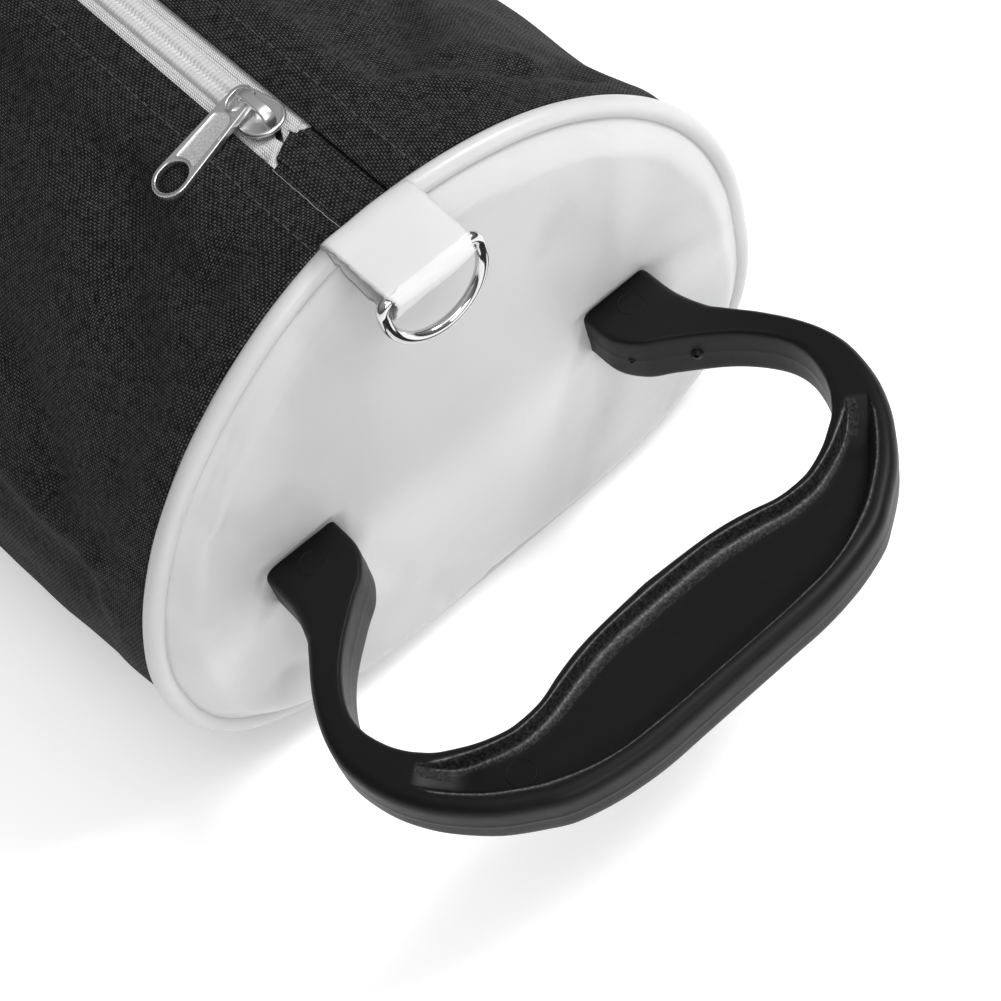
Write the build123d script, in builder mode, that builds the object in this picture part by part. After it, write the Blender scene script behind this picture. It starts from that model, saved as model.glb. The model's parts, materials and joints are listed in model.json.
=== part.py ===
"""Golf shoe bag with a moulded carrying handle on one end panel.

The bag lies on its back panel with the zip on top. +X points out of the
handle end, +Y across the bag, +Z up. The origin is the middle of the whole
object's footprint, on the surface that the bag lies on. Millimetres.
"""
from build123d import *
import os
from math import cos, pi, sin

os.makedirs("parts", exist_ok=True)

# ----------------------------------------------------------- overall sizes
face_to_face = 360.0        # outer face of one end panel to the other
handle_reach = 86.0         # handle, from the end panel's face
face_x = (face_to_face - handle_reach) / 2
mid_x = face_x - face_to_face / 2

# ------------------------------------------------ end outline (over piping)
end_half_width = 82.5
end_top = 125.0
end_bottom = 1.0
end_widest = 51.0           # height of the widest point
end_shoulder = 1.9          # roundness of the upper part
end_belly = 3.0             # squareness of the lower part

# ---------------------------------------- body, how it sags between the ends
seam_inset = 2.0            # fabric lies this far inside the piping's outline
sag_width = 10.0
sag_widest = -12.0
sag_shoulder = -0.45
sag_belly = 2.5
flattening = 1.0            # how far the resting weight presses the cloth flat
fabric = 1.6                # coated cloth with its seam allowances
back_seam_height = 14.0

# ----------------------------------------------------------------- end stack
vinyl = 1.2
pad_thickness = 4.6
board_thickness = 3.0
board_clear = 2.4           # room round the board for the bound seam
bead_radius = 2.3
bead_depth = 3.5            # bead centre behind the panel's face
bead_round = 2.1
panel_inset = 2 * bead_radius + 0.1
binding_length = 8.0
binding_thickness = 1.8

# ----------------------------------------------------------------------- zip
slot_half = 5.9             # half the gap between the folded fabric edges
tape_half = 8.0
tape_gap = 0.8
tape_thickness = 0.5
tape_top = 121.3
coil_half = 3.1
coil_height = 2.2
zip_start = 31.0            # tape end, behind the handle-end face
zip_end = 331.0
strip_lap = 3.0

# -------------------------------------------------------------------- slider
slider_back = 41.0          # slider centre, behind the handle-end face
slider_length = 14.4
slider_half = 4.9
slider_tail = 3.0           # half-width at the rear end
shoulder_x = 1.5            # where the plan starts to round off, from the centre
plate = 1.1
plate_gap = 0.5
post_half = 0.45
post_length = 3.0
post_back = 4.0             # post's middle, behind the front end
flange_x = -1.2             # side flanges, from the slider's centre
flange_y = 3.75
flange_length = 7.0
flange_thickness = 0.7
rear_leg = -2.3             # crown's legs, from the slider's centre
front_leg = 6.0
leg_half = 0.7              # along the zip
leg_pin = 0.85              # radius of the rear leg, a round pin that the pull swings on
crown_clear = 2.9
crown_thickness = 1.3
crown_half = 0.95           # across the zip

# ---------------------------------------------------------------------- pull
pull_turn = -83.8           # heading of the pull about +Z, from +X
pull_lean = 11.0            # lean of its swing plane down the bag's flank
pull_thickness = 1.4
pull_lift = 1.8             # its middle above the slider's top plate
pull_offset = -0.7          # its centre line passes the leg on the rear side
eye_centre = 0.5            # distances from the leg, along the pull
eye_outer = 3.05
eye_inner = 2.1
eye_length = 5.3
tip_centre = 21.0
tip_outer = 4.35
hole_centre = 20.8
hole_length = 7.4
hole_width = 6.7
blade_start = 5.0
blade_end = 16.6
blade_narrow = 2.1          # half-widths of the recessed blade
blade_wide = 3.0
blade_depth = 0.3

# ---------------------------------------------------------- D-ring and its tab
tab_side = -1.6             # centre of the tab and ring across the zip
tab_half = 9.75
tab_thickness = 1.9
tab_root = 6.0              # root behind the face, in the top seam
wire_radius = 1.3
ring_half = 11.3            # half the bar, to the wire's centre
ring_straight = 4.0
ring_corner = 2.2
bar_out = 15.5              # bar centre, out from the panel's face
bar_height = 123.6
loop_clear = 0.4
loop_wall = 1.0

# -------------------------------------------------------------------- handle
handle_top = 61.0
handle_thickness = 13.0
pocket_depth = 4.0
foot_inner = 34.2
foot_outer = 52.5
palm_inner = 57.9           # inner side of the grip at its middle
pocket_inner = 60.3
pocket_outer = 82.2

# ----------------------------------------------------------------- fasteners
screw_shank = 2.4
screw_head = 4.5
screw_head_height = 2.8
screw_bite = 14.0
washer_radius = 8.0
washer_thickness = 1.2
clear_hole = 2.6
screw_y = (foot_inner + foot_outer) / 2
screw_z = handle_top - handle_thickness / 2

stack = vinyl + pad_thickness + board_thickness
body_front = bead_depth + bead_radius
zip_plane = Plane.XY.offset(tape_top)
half_turns = 12


def save(piece, label):
    """Name a finished piece and write it out."""
    piece.part.label = label
    export_step(piece.part, f"parts/{label}.step")


def outline(half_width, top, bottom, widest, shoulder, belly, flat=0.0):
    """Points of a domed section with a squarer lower half, in (y, z)."""
    points = []
    for step in range(2 * half_turns):
        angle = pi * (step + 0.5) / half_turns
        across, up = cos(angle), sin(angle)
        power = shoulder if up > 0 else belly
        reach = (abs(across) ** power + abs(up) ** power) ** (-1 / power)
        ridge = flat if up > 0 else flat * abs(across)
        side = 1 if across > 0 else -1
        rise = top - widest if up > 0 else widest - bottom
        y = side * (ridge + (half_width - ridge) * reach * abs(across))
        points.append((y, widest + rise * reach * up))
    return points


def end_points(inset):
    """The end outline, moved inwards."""
    return outline(
        end_half_width - inset,
        end_top - inset,
        end_bottom + inset,
        end_widest,
        end_shoulder,
        end_belly,
    )


def end_slice(depth, thickness, inset):
    """A plate of the end outline, its front face `depth` behind the panel's face."""
    with BuildPart() as piece:
        with BuildSketch(Plane.YZ.offset(face_x - depth)):
            with BuildLine():
                Spline(*end_points(inset), periodic=True)
            make_face()
        extrude(amount=-thickness)
    return piece.part


def body_hull(inset, overrun=0.0):
    """The filled body between the two end seams, moved inwards by `inset`."""
    front = body_front - overrun
    back = face_to_face - body_front + overrun
    count = 6
    with BuildPart() as hull:
        for index in range(count + 1):
            depth = front + (back - front) * index / count
            sag = sin(pi * depth / face_to_face)
            rest = 1 - (1 - sag) ** 3
            points = outline(
                end_half_width - seam_inset - inset + sag_width * sag,
                end_top - seam_inset + 0.5 - inset,
                (end_bottom + seam_inset) * (1 - rest) - flattening + inset,
                end_widest + sag_widest * sag,
                end_shoulder + sag_shoulder * sag,
                end_belly + sag_belly * sag,
                flat=7.0,
            )
            with BuildSketch(Plane.YZ.offset(face_x - depth)):
                with BuildLine():
                    Spline(*points, periodic=True)
                make_face()
        loft()
    return hull.part


def mirrored_end(piece):
    """The far end's copy of a handle-end piece."""
    with BuildPart() as copy:
        mirror(piece, about=Plane.YZ.offset(mid_x))
    return copy


# ================================================================ body cloth
outer_hull = body_hull(0.0)
inner_hull = body_hull(fabric, overrun=2.0)

with BuildPart() as body_panel_left:
    add(outer_hull)
    add(inner_hull, mode=Mode.SUBTRACT)
    split(bisect_by=Plane.XZ.offset(slot_half), keep=Keep.TOP)
    split(bisect_by=Plane.XY.offset(back_seam_height), keep=Keep.TOP)
save(body_panel_left, "body_panel_left")

with BuildPart() as body_panel_right:
    mirror(body_panel_left.part, about=Plane.XZ)
save(body_panel_right, "body_panel_right")

with BuildPart() as back_panel:
    add(outer_hull)
    add(inner_hull, mode=Mode.SUBTRACT)
    split(bisect_by=Plane.XY.offset(back_seam_height), keep=Keep.BOTTOM)
    split(bisect_by=Plane.XY, keep=Keep.TOP)
save(back_panel, "back_panel")

# ============================================================== end closures
with BuildPart() as far_skin:
    add(end_slice(0, body_front, panel_inset))
    add(end_slice(vinyl, body_front, panel_inset + vinyl), mode=Mode.SUBTRACT)

with BuildPart() as handle_end_panel:
    add(far_skin.part)
    with Locations(Plane.YZ.offset(face_x)):
        with Locations((screw_y, screw_z), (-screw_y, screw_z)):
            Cylinder(clear_hole, 4 * vinyl, mode=Mode.SUBTRACT)
save(handle_end_panel, "handle_end_panel")
save(mirrored_end(far_skin.part), "far_end_panel")

pad = end_slice(vinyl, pad_thickness, panel_inset + vinyl + 0.1)
with BuildPart() as handle_end_pad:
    add(pad)
    with Locations(Plane.YZ.offset(face_x)):
        with Locations((screw_y, screw_z), (-screw_y, screw_z)):
            Cylinder(clear_hole, 4 * stack, mode=Mode.SUBTRACT)
save(handle_end_pad, "handle_end_pad")
save(mirrored_end(pad), "far_end_pad")

board = end_slice(vinyl + pad_thickness, board_thickness, panel_inset + vinyl + board_clear)
with BuildPart() as handle_end_board:
    add(board)
    with Locations(Plane.YZ.offset(face_x)):
        with Locations((screw_y, screw_z), (-screw_y, screw_z)):
            Cylinder(clear_hole, 4 * stack, mode=Mode.SUBTRACT)
save(handle_end_board, "handle_end_board")
save(mirrored_end(board), "far_end_board")

with BuildPart() as handle_end_piping:
    add(end_slice(bead_depth - bead_radius, 2 * bead_radius, 0))
    add(end_slice(0, 2 * body_front, 2 * bead_radius), mode=Mode.SUBTRACT)
    rim_edges = handle_end_piping.edges().filter_by(GeomType.BSPLINE)
    fillet(rim_edges, bead_round)
save(handle_end_piping, "handle_end_piping")
save(mirrored_end(handle_end_piping.part), "far_end_piping")

binding_inset = seam_inset + fabric + 2.0
with BuildPart() as handle_end_binding:
    add(end_slice(body_front + 0.2, binding_length, binding_inset))
    add(
        end_slice(body_front, 2 * binding_length, binding_inset + binding_thickness),
        mode=Mode.SUBTRACT,
    )
save(handle_end_binding, "handle_end_binding")
save(mirrored_end(handle_end_binding.part), "far_end_binding")

# ======================================================================= zip
zip_mid = face_x - (zip_start + zip_end) / 2
zip_length = zip_end - zip_start

with BuildPart() as zipper_tape_left:
    with BuildSketch(zip_plane):
        with Locations((zip_mid, -(tape_half + tape_gap) / 2)):
            Rectangle(zip_length, tape_half - tape_gap)
    extrude(amount=-tape_thickness)
save(zipper_tape_left, "zipper_tape_left")

with BuildPart() as zipper_tape_right:
    mirror(zipper_tape_left.part, about=Plane.XZ)
save(zipper_tape_right, "zipper_tape_right")

coil_front = face_x - zip_start - 2.0
coil_back = face_x - zip_end + 8.0
with BuildPart() as zipper_coil_left:
    with BuildSketch(Plane.YZ.offset(coil_back)):
        with Locations((-(coil_half + tape_gap) / 2, tape_top + coil_height / 2)):
            RectangleRounded(coil_half - tape_gap, coil_height, 0.7)
    extrude(amount=coil_front - coil_back)
save(zipper_coil_left, "zipper_coil_left")

with BuildPart() as zipper_coil_right:
    mirror(zipper_coil_left.part, about=Plane.XZ)
save(zipper_coil_right, "zipper_coil_right")

with BuildPart() as zipper_stop:
    with BuildSketch(zip_plane):
        with Locations((coil_back - 2.2, 0)):
            RectangleRounded(4.0, 2 * coil_half + 1.2, 1.0)
    extrude(amount=coil_height + 0.3)
    fillet(zipper_stop.faces().sort_by(Axis.Z)[-1].edges(), 0.6)
save(zipper_stop, "zipper_stop")

strip_top = tape_top - tape_thickness
with BuildPart() as zipper_strip_front:
    with BuildSketch(Plane.XY.offset(strip_top)):
        with Locations((face_x - (zip_start + strip_lap + body_front) / 2, 0)):
            Rectangle(zip_start + strip_lap - body_front, 2 * tape_half)
    extrude(amount=-tape_thickness)
save(zipper_strip_front, "zipper_strip_front")

strip_back = face_to_face - body_front
with BuildPart() as zipper_strip_back:
    with BuildSketch(Plane.XY.offset(strip_top)):
        with Locations((face_x - (zip_end - strip_lap + strip_back) / 2, 0)):
            Rectangle(strip_back - zip_end + strip_lap, 2 * tape_half)
    extrude(amount=-tape_thickness)
save(zipper_strip_back, "zipper_strip_back")

# ==================================================================== slider
slider_x = face_x - slider_back
top_plate_low = tape_top + coil_height + plate_gap
top_plate_high = top_plate_low + plate
low_plate_high = tape_top - tape_thickness - plate_gap
crown_low = top_plate_high + crown_clear
crown_high = crown_low + crown_thickness

leg_x = slider_x + rear_leg
pull_centre = Vector(leg_x, 0, top_plate_high + pull_lift)
swing_axis = Vector(0, -sin(pull_lean * pi / 180), cos(pull_lean * pi / 180))
heading = Vector(cos(pull_turn * pi / 180), sin(pull_turn * pi / 180), 0)
pull_dir = (heading - swing_axis * heading.dot(swing_axis)).normalized()
swing_plane = Plane(pull_centre, x_dir=pull_dir, z_dir=swing_axis)


def slider_plan():
    """Shield-shaped plan of both plates, round end towards the handle."""
    tail = (-slider_length / 2, slider_tail)
    shoulder = (shoulder_x, slider_half)
    with BuildSketch() as plan:
        with BuildLine():
            Line((tail[0], -tail[1]), tail)
            Line(tail, shoulder)
            ThreePointArc(shoulder, (slider_length / 2, 0), (shoulder[0], -shoulder[1]))
            Line((shoulder[0], -shoulder[1]), (tail[0], -tail[1]))
        make_face()
        fillet(plan.vertices().sort_by(Axis.X)[:2], 0.9)
    return plan.sketch


with BuildPart() as zipper_slider:
    with BuildSketch(Plane((slider_x, 0, top_plate_low))):
        add(slider_plan())
    extrude(amount=plate)
    with BuildSketch(Plane((slider_x, 0, low_plate_high))):
        add(slider_plan())
    extrude(amount=-plate)
    # the dividing post that joins the two plates between the coils
    with BuildSketch(Plane((slider_x, 0, low_plate_high - plate / 2))):
        with Locations((slider_length / 2 - post_back, 0)):
            Rectangle(post_length, 2 * post_half)
    extrude(amount=top_plate_low - low_plate_high + plate)
    # side flanges that hold the coils in
    with BuildSketch(Plane((slider_x, 0, top_plate_low + plate / 2))):
        for side in (-1, 1):
            with Locations((flange_x, side * flange_y)):
                Rectangle(flange_length, flange_thickness)
    extrude(amount=-(top_plate_low + plate / 2 - tape_top - plate_gap))
    # crown: an arch along the zip, on a flat front leg and a round rear leg
    crown_mid = slider_x + (rear_leg + front_leg) / 2
    crown_span = front_leg - rear_leg
    with BuildSketch(Plane.XZ.offset(-crown_half)):
        with Locations((crown_mid, (top_plate_high + crown_high) / 2 - 0.15)):
            Rectangle(crown_span + 2 * leg_half, crown_high - top_plate_high + 0.3)
        with Locations((crown_mid - leg_half, (top_plate_high + crown_low) / 2)):
            Rectangle(crown_span, crown_clear, mode=Mode.SUBTRACT)
    extrude(amount=2 * crown_half)
    crown_edges = zipper_slider.edges().filter_by(Axis.Y).group_by(Axis.Z)[-1]
    fillet(crown_edges, 1.1)
    with BuildSketch(swing_plane.offset(-pull_lift - plate / 2)):
        Circle(leg_pin)
    extrude(amount=crown_clear + plate / 2 + crown_thickness / 2)
save(zipper_slider, "zipper_slider")

# ====================================================================== pull
with BuildPart() as zipper_pull:
    with BuildSketch(swing_plane.offset(-pull_thickness / 2)):
        with Locations((eye_centre, pull_offset)):
            Circle(eye_outer)
        with Locations((tip_centre, pull_offset)):
            Circle(tip_outer)
        make_hull()
        with Locations((eye_centre - eye_inner + eye_length / 2, pull_offset)):
            SlotOverall(eye_length, 2 * eye_inner, mode=Mode.SUBTRACT)
        with Locations((hole_centre, pull_offset)):
            SlotOverall(hole_length, hole_width, mode=Mode.SUBTRACT)
    extrude(amount=pull_thickness)
    # the recessed blade between the eye and the hole, on both faces
    for side in (-1, 1):
        with BuildSketch(swing_plane.offset(side * pull_thickness / 2)) as blade_plan:
            with BuildLine():
                Polyline(
                    (blade_start, pull_offset - blade_narrow),
                    (blade_end, pull_offset - blade_wide),
                    (blade_end, pull_offset + blade_wide),
                    (blade_start, pull_offset + blade_narrow),
                    close=True,
                )
            make_face()
            fillet(blade_plan.vertices(), 0.9)
        extrude(amount=-side * blade_depth, mode=Mode.SUBTRACT)
save(zipper_pull, "zipper_pull")

# ================================================================ D-ring, tab
bar_x = face_x + bar_out
loop_inner = wire_radius + loop_clear
loop_outer = loop_inner + loop_wall
root_x = face_x - tab_root
root_z = end_top + 0.2 + tab_thickness / 2

with BuildPart() as dring_tab:
    with BuildSketch(Plane.XZ.offset(-tab_side - tab_half)):
        with BuildLine():
            Polyline(
                (root_x, root_z - tab_thickness / 2),
                (face_x, root_z - tab_thickness / 2),
                (bar_x, bar_height - tab_thickness / 2),
                (bar_x, bar_height + tab_thickness / 2),
                (face_x, root_z + tab_thickness / 2),
                (root_x, root_z + tab_thickness / 2),
                close=True,
            )
        make_face()
        with Locations((bar_x, bar_height)):
            Circle(loop_outer)
            Circle(loop_inner, mode=Mode.SUBTRACT)
    extrude(amount=2 * tab_half)
save(dring_tab, "dring_tab")

with BuildPart() as d_ring:
    bar_middle = (bar_x, tab_side, bar_height)
    with BuildLine(Plane(origin=bar_middle, x_dir=(0, 1, 0), z_dir=(1, 0, 0))) as wire_path:
        straight = ring_half - ring_corner
        Line((0, 0), (straight, 0))
        RadiusArc((straight, 0), (ring_half, -ring_corner), ring_corner)
        Line((ring_half, -ring_corner), (ring_half, -ring_straight))
        RadiusArc((ring_half, -ring_straight), (0, -ring_straight - ring_half), ring_half)
    with BuildSketch(Plane(bar_middle, z_dir=(0, 1, 0))):
        Circle(wire_radius)
    sweep()
    mirror(about=Plane.XZ.offset(-tab_side))
save(d_ring, "d_ring")

# ==================================================================== handle
outer_curve = [
    (foot_outer, 0),
    (foot_outer + 0.3, 9),
    (55.4, 18),
    (60.8, 26.5),
    (65.4, 36),
    (67.0, 45.5),
    (65.2, 55),
    (60.0, 65.5),
    (51.5, 75),
    (40.5, 82),
    (27.5, 85.2),
    (13.0, handle_reach),
    (0, handle_reach),
]
inner_curve = [
    (foot_inner, 0),
    (foot_inner + 0.3, 8.5),
    (37.5, 14.3),
    (45.5, 20.6),
    (54.0, 28.6),
    (58.8, 37.5),
    (58.9, 45.5),
    (54.4, 54.6),
    (46.2, 61.8),
    (37.8, 63.9),
    (29.0, 62.0),
    (19.5, 59.4),
    (9.5, 58.3),
    (0, palm_inner),
]
pocket_curve_in = [
    (56.6, 59.3),
    (51.0, 62.4),
    (45.0, 65.0),
    (38.0, 66.1),
    (29.0, 64.6),
    (19.5, 61.9),
    (9.5, 60.7),
    (0, pocket_inner),
]
pocket_curve_out = [
    (56.6, 59.3),
    (53.0, 67.0),
    (46.0, 73.3),
    (37.5, 78.2),
    (26.5, 81.3),
    (13.0, pocket_outer),
    (0, pocket_outer),
]
# the curves above are (across, outwards) from the foot line
handle_plane = Plane(
    origin=(face_x, 0, handle_top), x_dir=(0, 1, 0), z_dir=(0, 0, -1)
)

with BuildPart() as handle:
    with BuildSketch(handle_plane) as handle_plan:
        with BuildLine():
            Spline(*outer_curve, tangents=((0, 1), (-1, 0)))
            Line((0, handle_reach), (0, palm_inner))
            Spline(*inner_curve, tangents=((0, 1), (-1, 0)))
            Line((foot_inner, 0), (foot_outer, 0))
        make_face()
    extrude(amount=handle_thickness)
    for level, depth in ((0, pocket_depth), (handle_thickness, -pocket_depth)):
        with BuildSketch(handle_plane.offset(level)):
            with BuildLine():
                Spline(*pocket_curve_in, tangents=((-0.8, 0.5), (-1, 0)))
                Line((0, pocket_inner), (0, pocket_outer))
                Spline(*pocket_curve_out, tangents=((-0.1, 1), (-1, 0)))
            make_face()
        extrude(amount=depth, mode=Mode.SUBTRACT)
    mirror(about=Plane.XZ)
    # blind pilot holes for the screws, from the foot ends
    with Locations(Plane.YZ.offset(face_x)):
        with Locations((screw_y, screw_z), (-screw_y, screw_z)):
            Cylinder(
                screw_shank + 0.05,
                screw_bite + 1,
                align=(Align.CENTER, Align.CENTER, Align.MIN),
                mode=Mode.SUBTRACT,
            )
save(handle, "handle")

with BuildPart() as handle_screws:
    head_x = face_x - stack - washer_thickness
    for side in (-1, 1):
        with BuildSketch(Plane((head_x, side * screw_y, screw_z), z_dir=(1, 0, 0))):
            Circle(screw_shank)
        extrude(amount=stack + washer_thickness + screw_bite)
        with BuildSketch(Plane((head_x, side * screw_y, screw_z), z_dir=(-1, 0, 0))):
            Circle(screw_head)
        extrude(amount=screw_head_height)
save(handle_screws, "handle_screws")

with BuildPart() as handle_washers:
    for side in (-1, 1):
        with BuildSketch(Plane((face_x - stack, side * screw_y, screw_z), z_dir=(-1, 0, 0))):
            Circle(washer_radius)
            Circle(clear_hole, mode=Mode.SUBTRACT)
        extrude(amount=washer_thickness)
save(handle_washers, "handle_washers")
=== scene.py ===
"""The look of the golf shoe bag: cloth, vinyl, zip and moulded handle.

Metres, in the frame's own axes: +X out of the handle end, +Y across the bag,
+Z up through the zip, the surface that the bag lies on at z = 0.
"""
import json
import math
import random

import bpy
import numpy as np
from mathutils import Matrix, Vector, geometry, noise


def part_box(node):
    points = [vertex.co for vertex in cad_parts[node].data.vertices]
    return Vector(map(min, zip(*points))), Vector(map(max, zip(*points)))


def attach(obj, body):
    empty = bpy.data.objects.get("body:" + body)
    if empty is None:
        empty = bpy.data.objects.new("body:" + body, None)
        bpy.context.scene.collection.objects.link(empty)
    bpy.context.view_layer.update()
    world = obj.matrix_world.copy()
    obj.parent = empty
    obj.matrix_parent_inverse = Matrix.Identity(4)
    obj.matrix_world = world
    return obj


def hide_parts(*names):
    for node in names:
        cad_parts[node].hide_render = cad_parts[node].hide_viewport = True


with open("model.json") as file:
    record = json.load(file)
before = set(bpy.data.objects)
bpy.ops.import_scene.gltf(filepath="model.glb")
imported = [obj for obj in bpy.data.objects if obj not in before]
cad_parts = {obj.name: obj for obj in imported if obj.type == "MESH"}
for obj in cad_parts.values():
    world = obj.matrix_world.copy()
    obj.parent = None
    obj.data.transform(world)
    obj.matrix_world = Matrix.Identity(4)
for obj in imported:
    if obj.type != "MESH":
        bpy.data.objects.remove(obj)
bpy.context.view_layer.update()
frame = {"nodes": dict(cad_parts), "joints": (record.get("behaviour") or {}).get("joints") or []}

random.seed(41)
mm = 0.001
pi = math.pi

# ---- places from the frame
face_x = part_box("handle_end_panel")[1].x
far_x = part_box("far_end_panel")[0].x
length = face_x - far_x
bead_low, bead_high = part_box("handle_end_piping")
end_half_width = bead_high.y
end_top = bead_high.z
end_bottom = bead_low.z
bead_radius = (bead_high.x - bead_low.x) / 2
bead_x = (bead_high.x + bead_low.x) / 2
body_start = face_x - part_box("body_panel_left")[1].x
tape_low, tape_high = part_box("zipper_tape_left")
tape_top = tape_high.z
slider_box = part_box("zipper_slider")
handle_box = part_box("handle")
handle_mid_z = (handle_box[0].z + handle_box[1].z) / 2
handle_half = (handle_box[1].z - handle_box[0].z) / 2
joint = {j["name"]: j for j in frame["joints"]}
ring_axis = Vector(joint["dring_swing"]["pos_m"])
pull_axis = Vector(joint["pull_swing"]["pos_m"])
pull_normal = Vector(joint["pull_swing"]["axis"]).normalized()

# ---- end outline and sagging
end_widest = 51 * mm
end_shoulder = 1.9
end_belly = 3.0
seam_inset = 2 * mm
sag_width = 10 * mm
sag_widest = -12 * mm
sag_shoulder = -0.45
sag_belly = 2.5
ridge_flat = 7 * mm
back_seam_height = 14 * mm
slot_half = 5.9 * mm
floor_gap = 0.25 * mm
# the soft end leans: how its two sides differ from the even outline
lean_width = {-1: 0.5 * mm, 1: 0.0}
lean_widest = {-1: -4.2 * mm, 1: 0.0}
lean_shoulder = {-1: -0.20, 1: 0.26}
lean_belly = {-1: -0.12, 1: 0.0}


# ---- small helpers
def lerp(a, b, t):
    return a + (b - a) * t


def smooth(low, high, value):
    """0 below low, 1 above high, easing between; works on arrays."""
    t = np.clip((np.asarray(value, float) - low) / (high - low), 0, 1)
    return t * t * (3 - 2 * t)


def catmull(values, count, closed=False):
    """A smooth curve through rows of values, at count even steps along them."""
    values = np.asarray(values, float)
    n = len(values)
    span = n if closed else n - 1
    t = np.linspace(0, span, count, endpoint=not closed)
    i = np.minimum(t.astype(int), span - 1)
    f = (t - i).reshape((-1,) + (1,) * (values.ndim - 1))

    def at(k):
        return values[k % n] if closed else values[np.clip(k, 0, n - 1)]

    a, b, c, d = at(i - 1), at(i), at(i + 1), at(i + 2)
    if not closed:
        first = (i == 0).reshape(f.shape)
        last = (i + 2 > n - 1).reshape(f.shape)
        a = np.where(first, 2 * b - c, a)
        d = np.where(last, 2 * c - b, d)
    return 0.5 * (
        2 * b + (c - a) * f + (2 * a - 5 * b + 4 * c - d) * f**2
        + (3 * b - 3 * c + d - a) * f**3
    )


def refine(grid, rows, cols):
    """A grid of points at a finer spacing, smooth both ways."""
    finer = catmull(grid, rows)
    return np.swapaxes(catmull(np.swapaxes(finer, 0, 1), cols), 0, 1)


def unit(rows):
    """Each row scaled to a length of one."""
    return rows / np.maximum(np.linalg.norm(rows, axis=-1, keepdims=True), 1e-12)


def normals(grid):
    """Unit normals of a grid of points."""
    return unit(np.cross(np.gradient(grid, axis=0), np.gradient(grid, axis=1)))


def bell(x, width):
    """1 where x is 0, falling smoothly to almost nothing at twice the width."""
    return np.exp(-((x / width) ** 2))


def grain(points, scale, seed=0.0):
    """Smooth noise at each point of an array, about -1 to 1."""
    flat = np.asarray(points, float).reshape(-1, 3) * scale + seed
    values = [noise.noise(Vector(p)) for p in flat]
    return np.array(values).reshape(np.asarray(points).shape[:-1])


def quads(rows, cols, wrap_rows=False, wrap_cols=False):
    faces = []
    for r in range(rows if wrap_rows else rows - 1):
        for c in range(cols if wrap_cols else cols - 1):
            r2, c2 = (r + 1) % rows, (c + 1) % cols
            faces.append((r * cols + c, r * cols + c2, r2 * cols + c2, r2 * cols + c))
    return faces


def new_mesh(name, points, faces, uvs=None):
    """An object made of the points and faces; uvs has one pair for each point."""
    mesh = bpy.data.meshes.new(name)
    mesh.from_pydata([tuple(p) for p in np.asarray(points).reshape(-1, 3)], [], faces)
    if uvs is not None:
        layer = mesh.uv_layers.new(name="weave")
        flat = np.asarray(uvs, float).reshape(-1, 2)
        order = np.empty(len(mesh.loops), int)
        mesh.loops.foreach_get("vertex_index", order)
        layer.data.foreach_set("uv", flat[order].ravel())
    mesh.polygons.foreach_set("use_smooth", [True] * len(mesh.polygons))
    mesh.validate()
    mesh.update()
    thing = bpy.data.objects.new(name, mesh)
    bpy.context.scene.collection.objects.link(thing)
    return thing


def finish_piece(thing, material, body="bag", replaced=()):
    """Gives a piece its material and the body that it rides on."""
    thing.data.materials.clear()
    for item in material if isinstance(material, (list, tuple)) else [material]:
        thing.data.materials.append(item)
    if replaced:
        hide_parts(*replaced)
    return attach(thing, body)


def configure(thing, **settings):
    for key, value in settings.items():
        setattr(thing, key, value)
    return thing


def add_modifier(thing, kind, name, **settings):
    return configure(thing.modifiers.new(name, kind), **settings)


def subdivide(thing):
    add_modifier(thing, "SUBSURF", "smooth", levels=1, render_levels=1)


def flip(faces):
    return [tuple(reversed(face)) for face in faces]


def grid_mesh(name, grid, flipped, uvs=None, thick=0.5 * mm, offset=-1, **settings):
    """A sheet made of a grid of points and given a thickness."""
    faces = quads(*grid.shape[:2])
    thing = new_mesh(name, grid, flip(faces) if flipped else faces, uvs)
    add_modifier(thing, "SOLIDIFY", "thickness", thickness=thick, offset=offset, **settings)
    return thing


def circle(count):
    """Evenly spaced angles round a whole turn."""
    return np.arange(count) * 2 * pi / count


def loop_heading(loop):
    """The direction along a closed loop at each of its points, as unit rows."""
    return unit(np.roll(loop, -1, axis=0) - np.roll(loop, 1, axis=0))


def tube(path, radius, sides, closed=False, up=(0, 0, 1)):
    """Points and faces of a round tube along a path that never runs along up."""
    count = len(path)
    along = loop_heading(path) if closed else unit(np.gradient(path, axis=0))
    side = unit(np.cross(along, np.asarray(up, float)))
    top = np.cross(side, along)
    turn = circle(sides)[None, :, None]
    radius = np.broadcast_to(np.asarray(radius, float), (count,))[:, None, None]
    points = path[:, None] + radius * (side[:, None] * np.cos(turn) + top[:, None] * np.sin(turn))
    faces = quads(count, sides, wrap_rows=closed, wrap_cols=True)
    if not closed:
        faces.append(tuple(range(sides)))
        faces.append(tuple(reversed(range((count - 1) * sides, count * sides))))
    return points.reshape(-1, 3), faces


def joined(parts):
    """Several (points, faces) made into one."""
    points, faces, start = [], [], 0
    for part_points, part_faces in parts:
        points.append(np.asarray(part_points))
        faces += [tuple(i + start for i in face) for face in part_faces]
        start += len(part_points)
    return np.concatenate(points), faces


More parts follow.
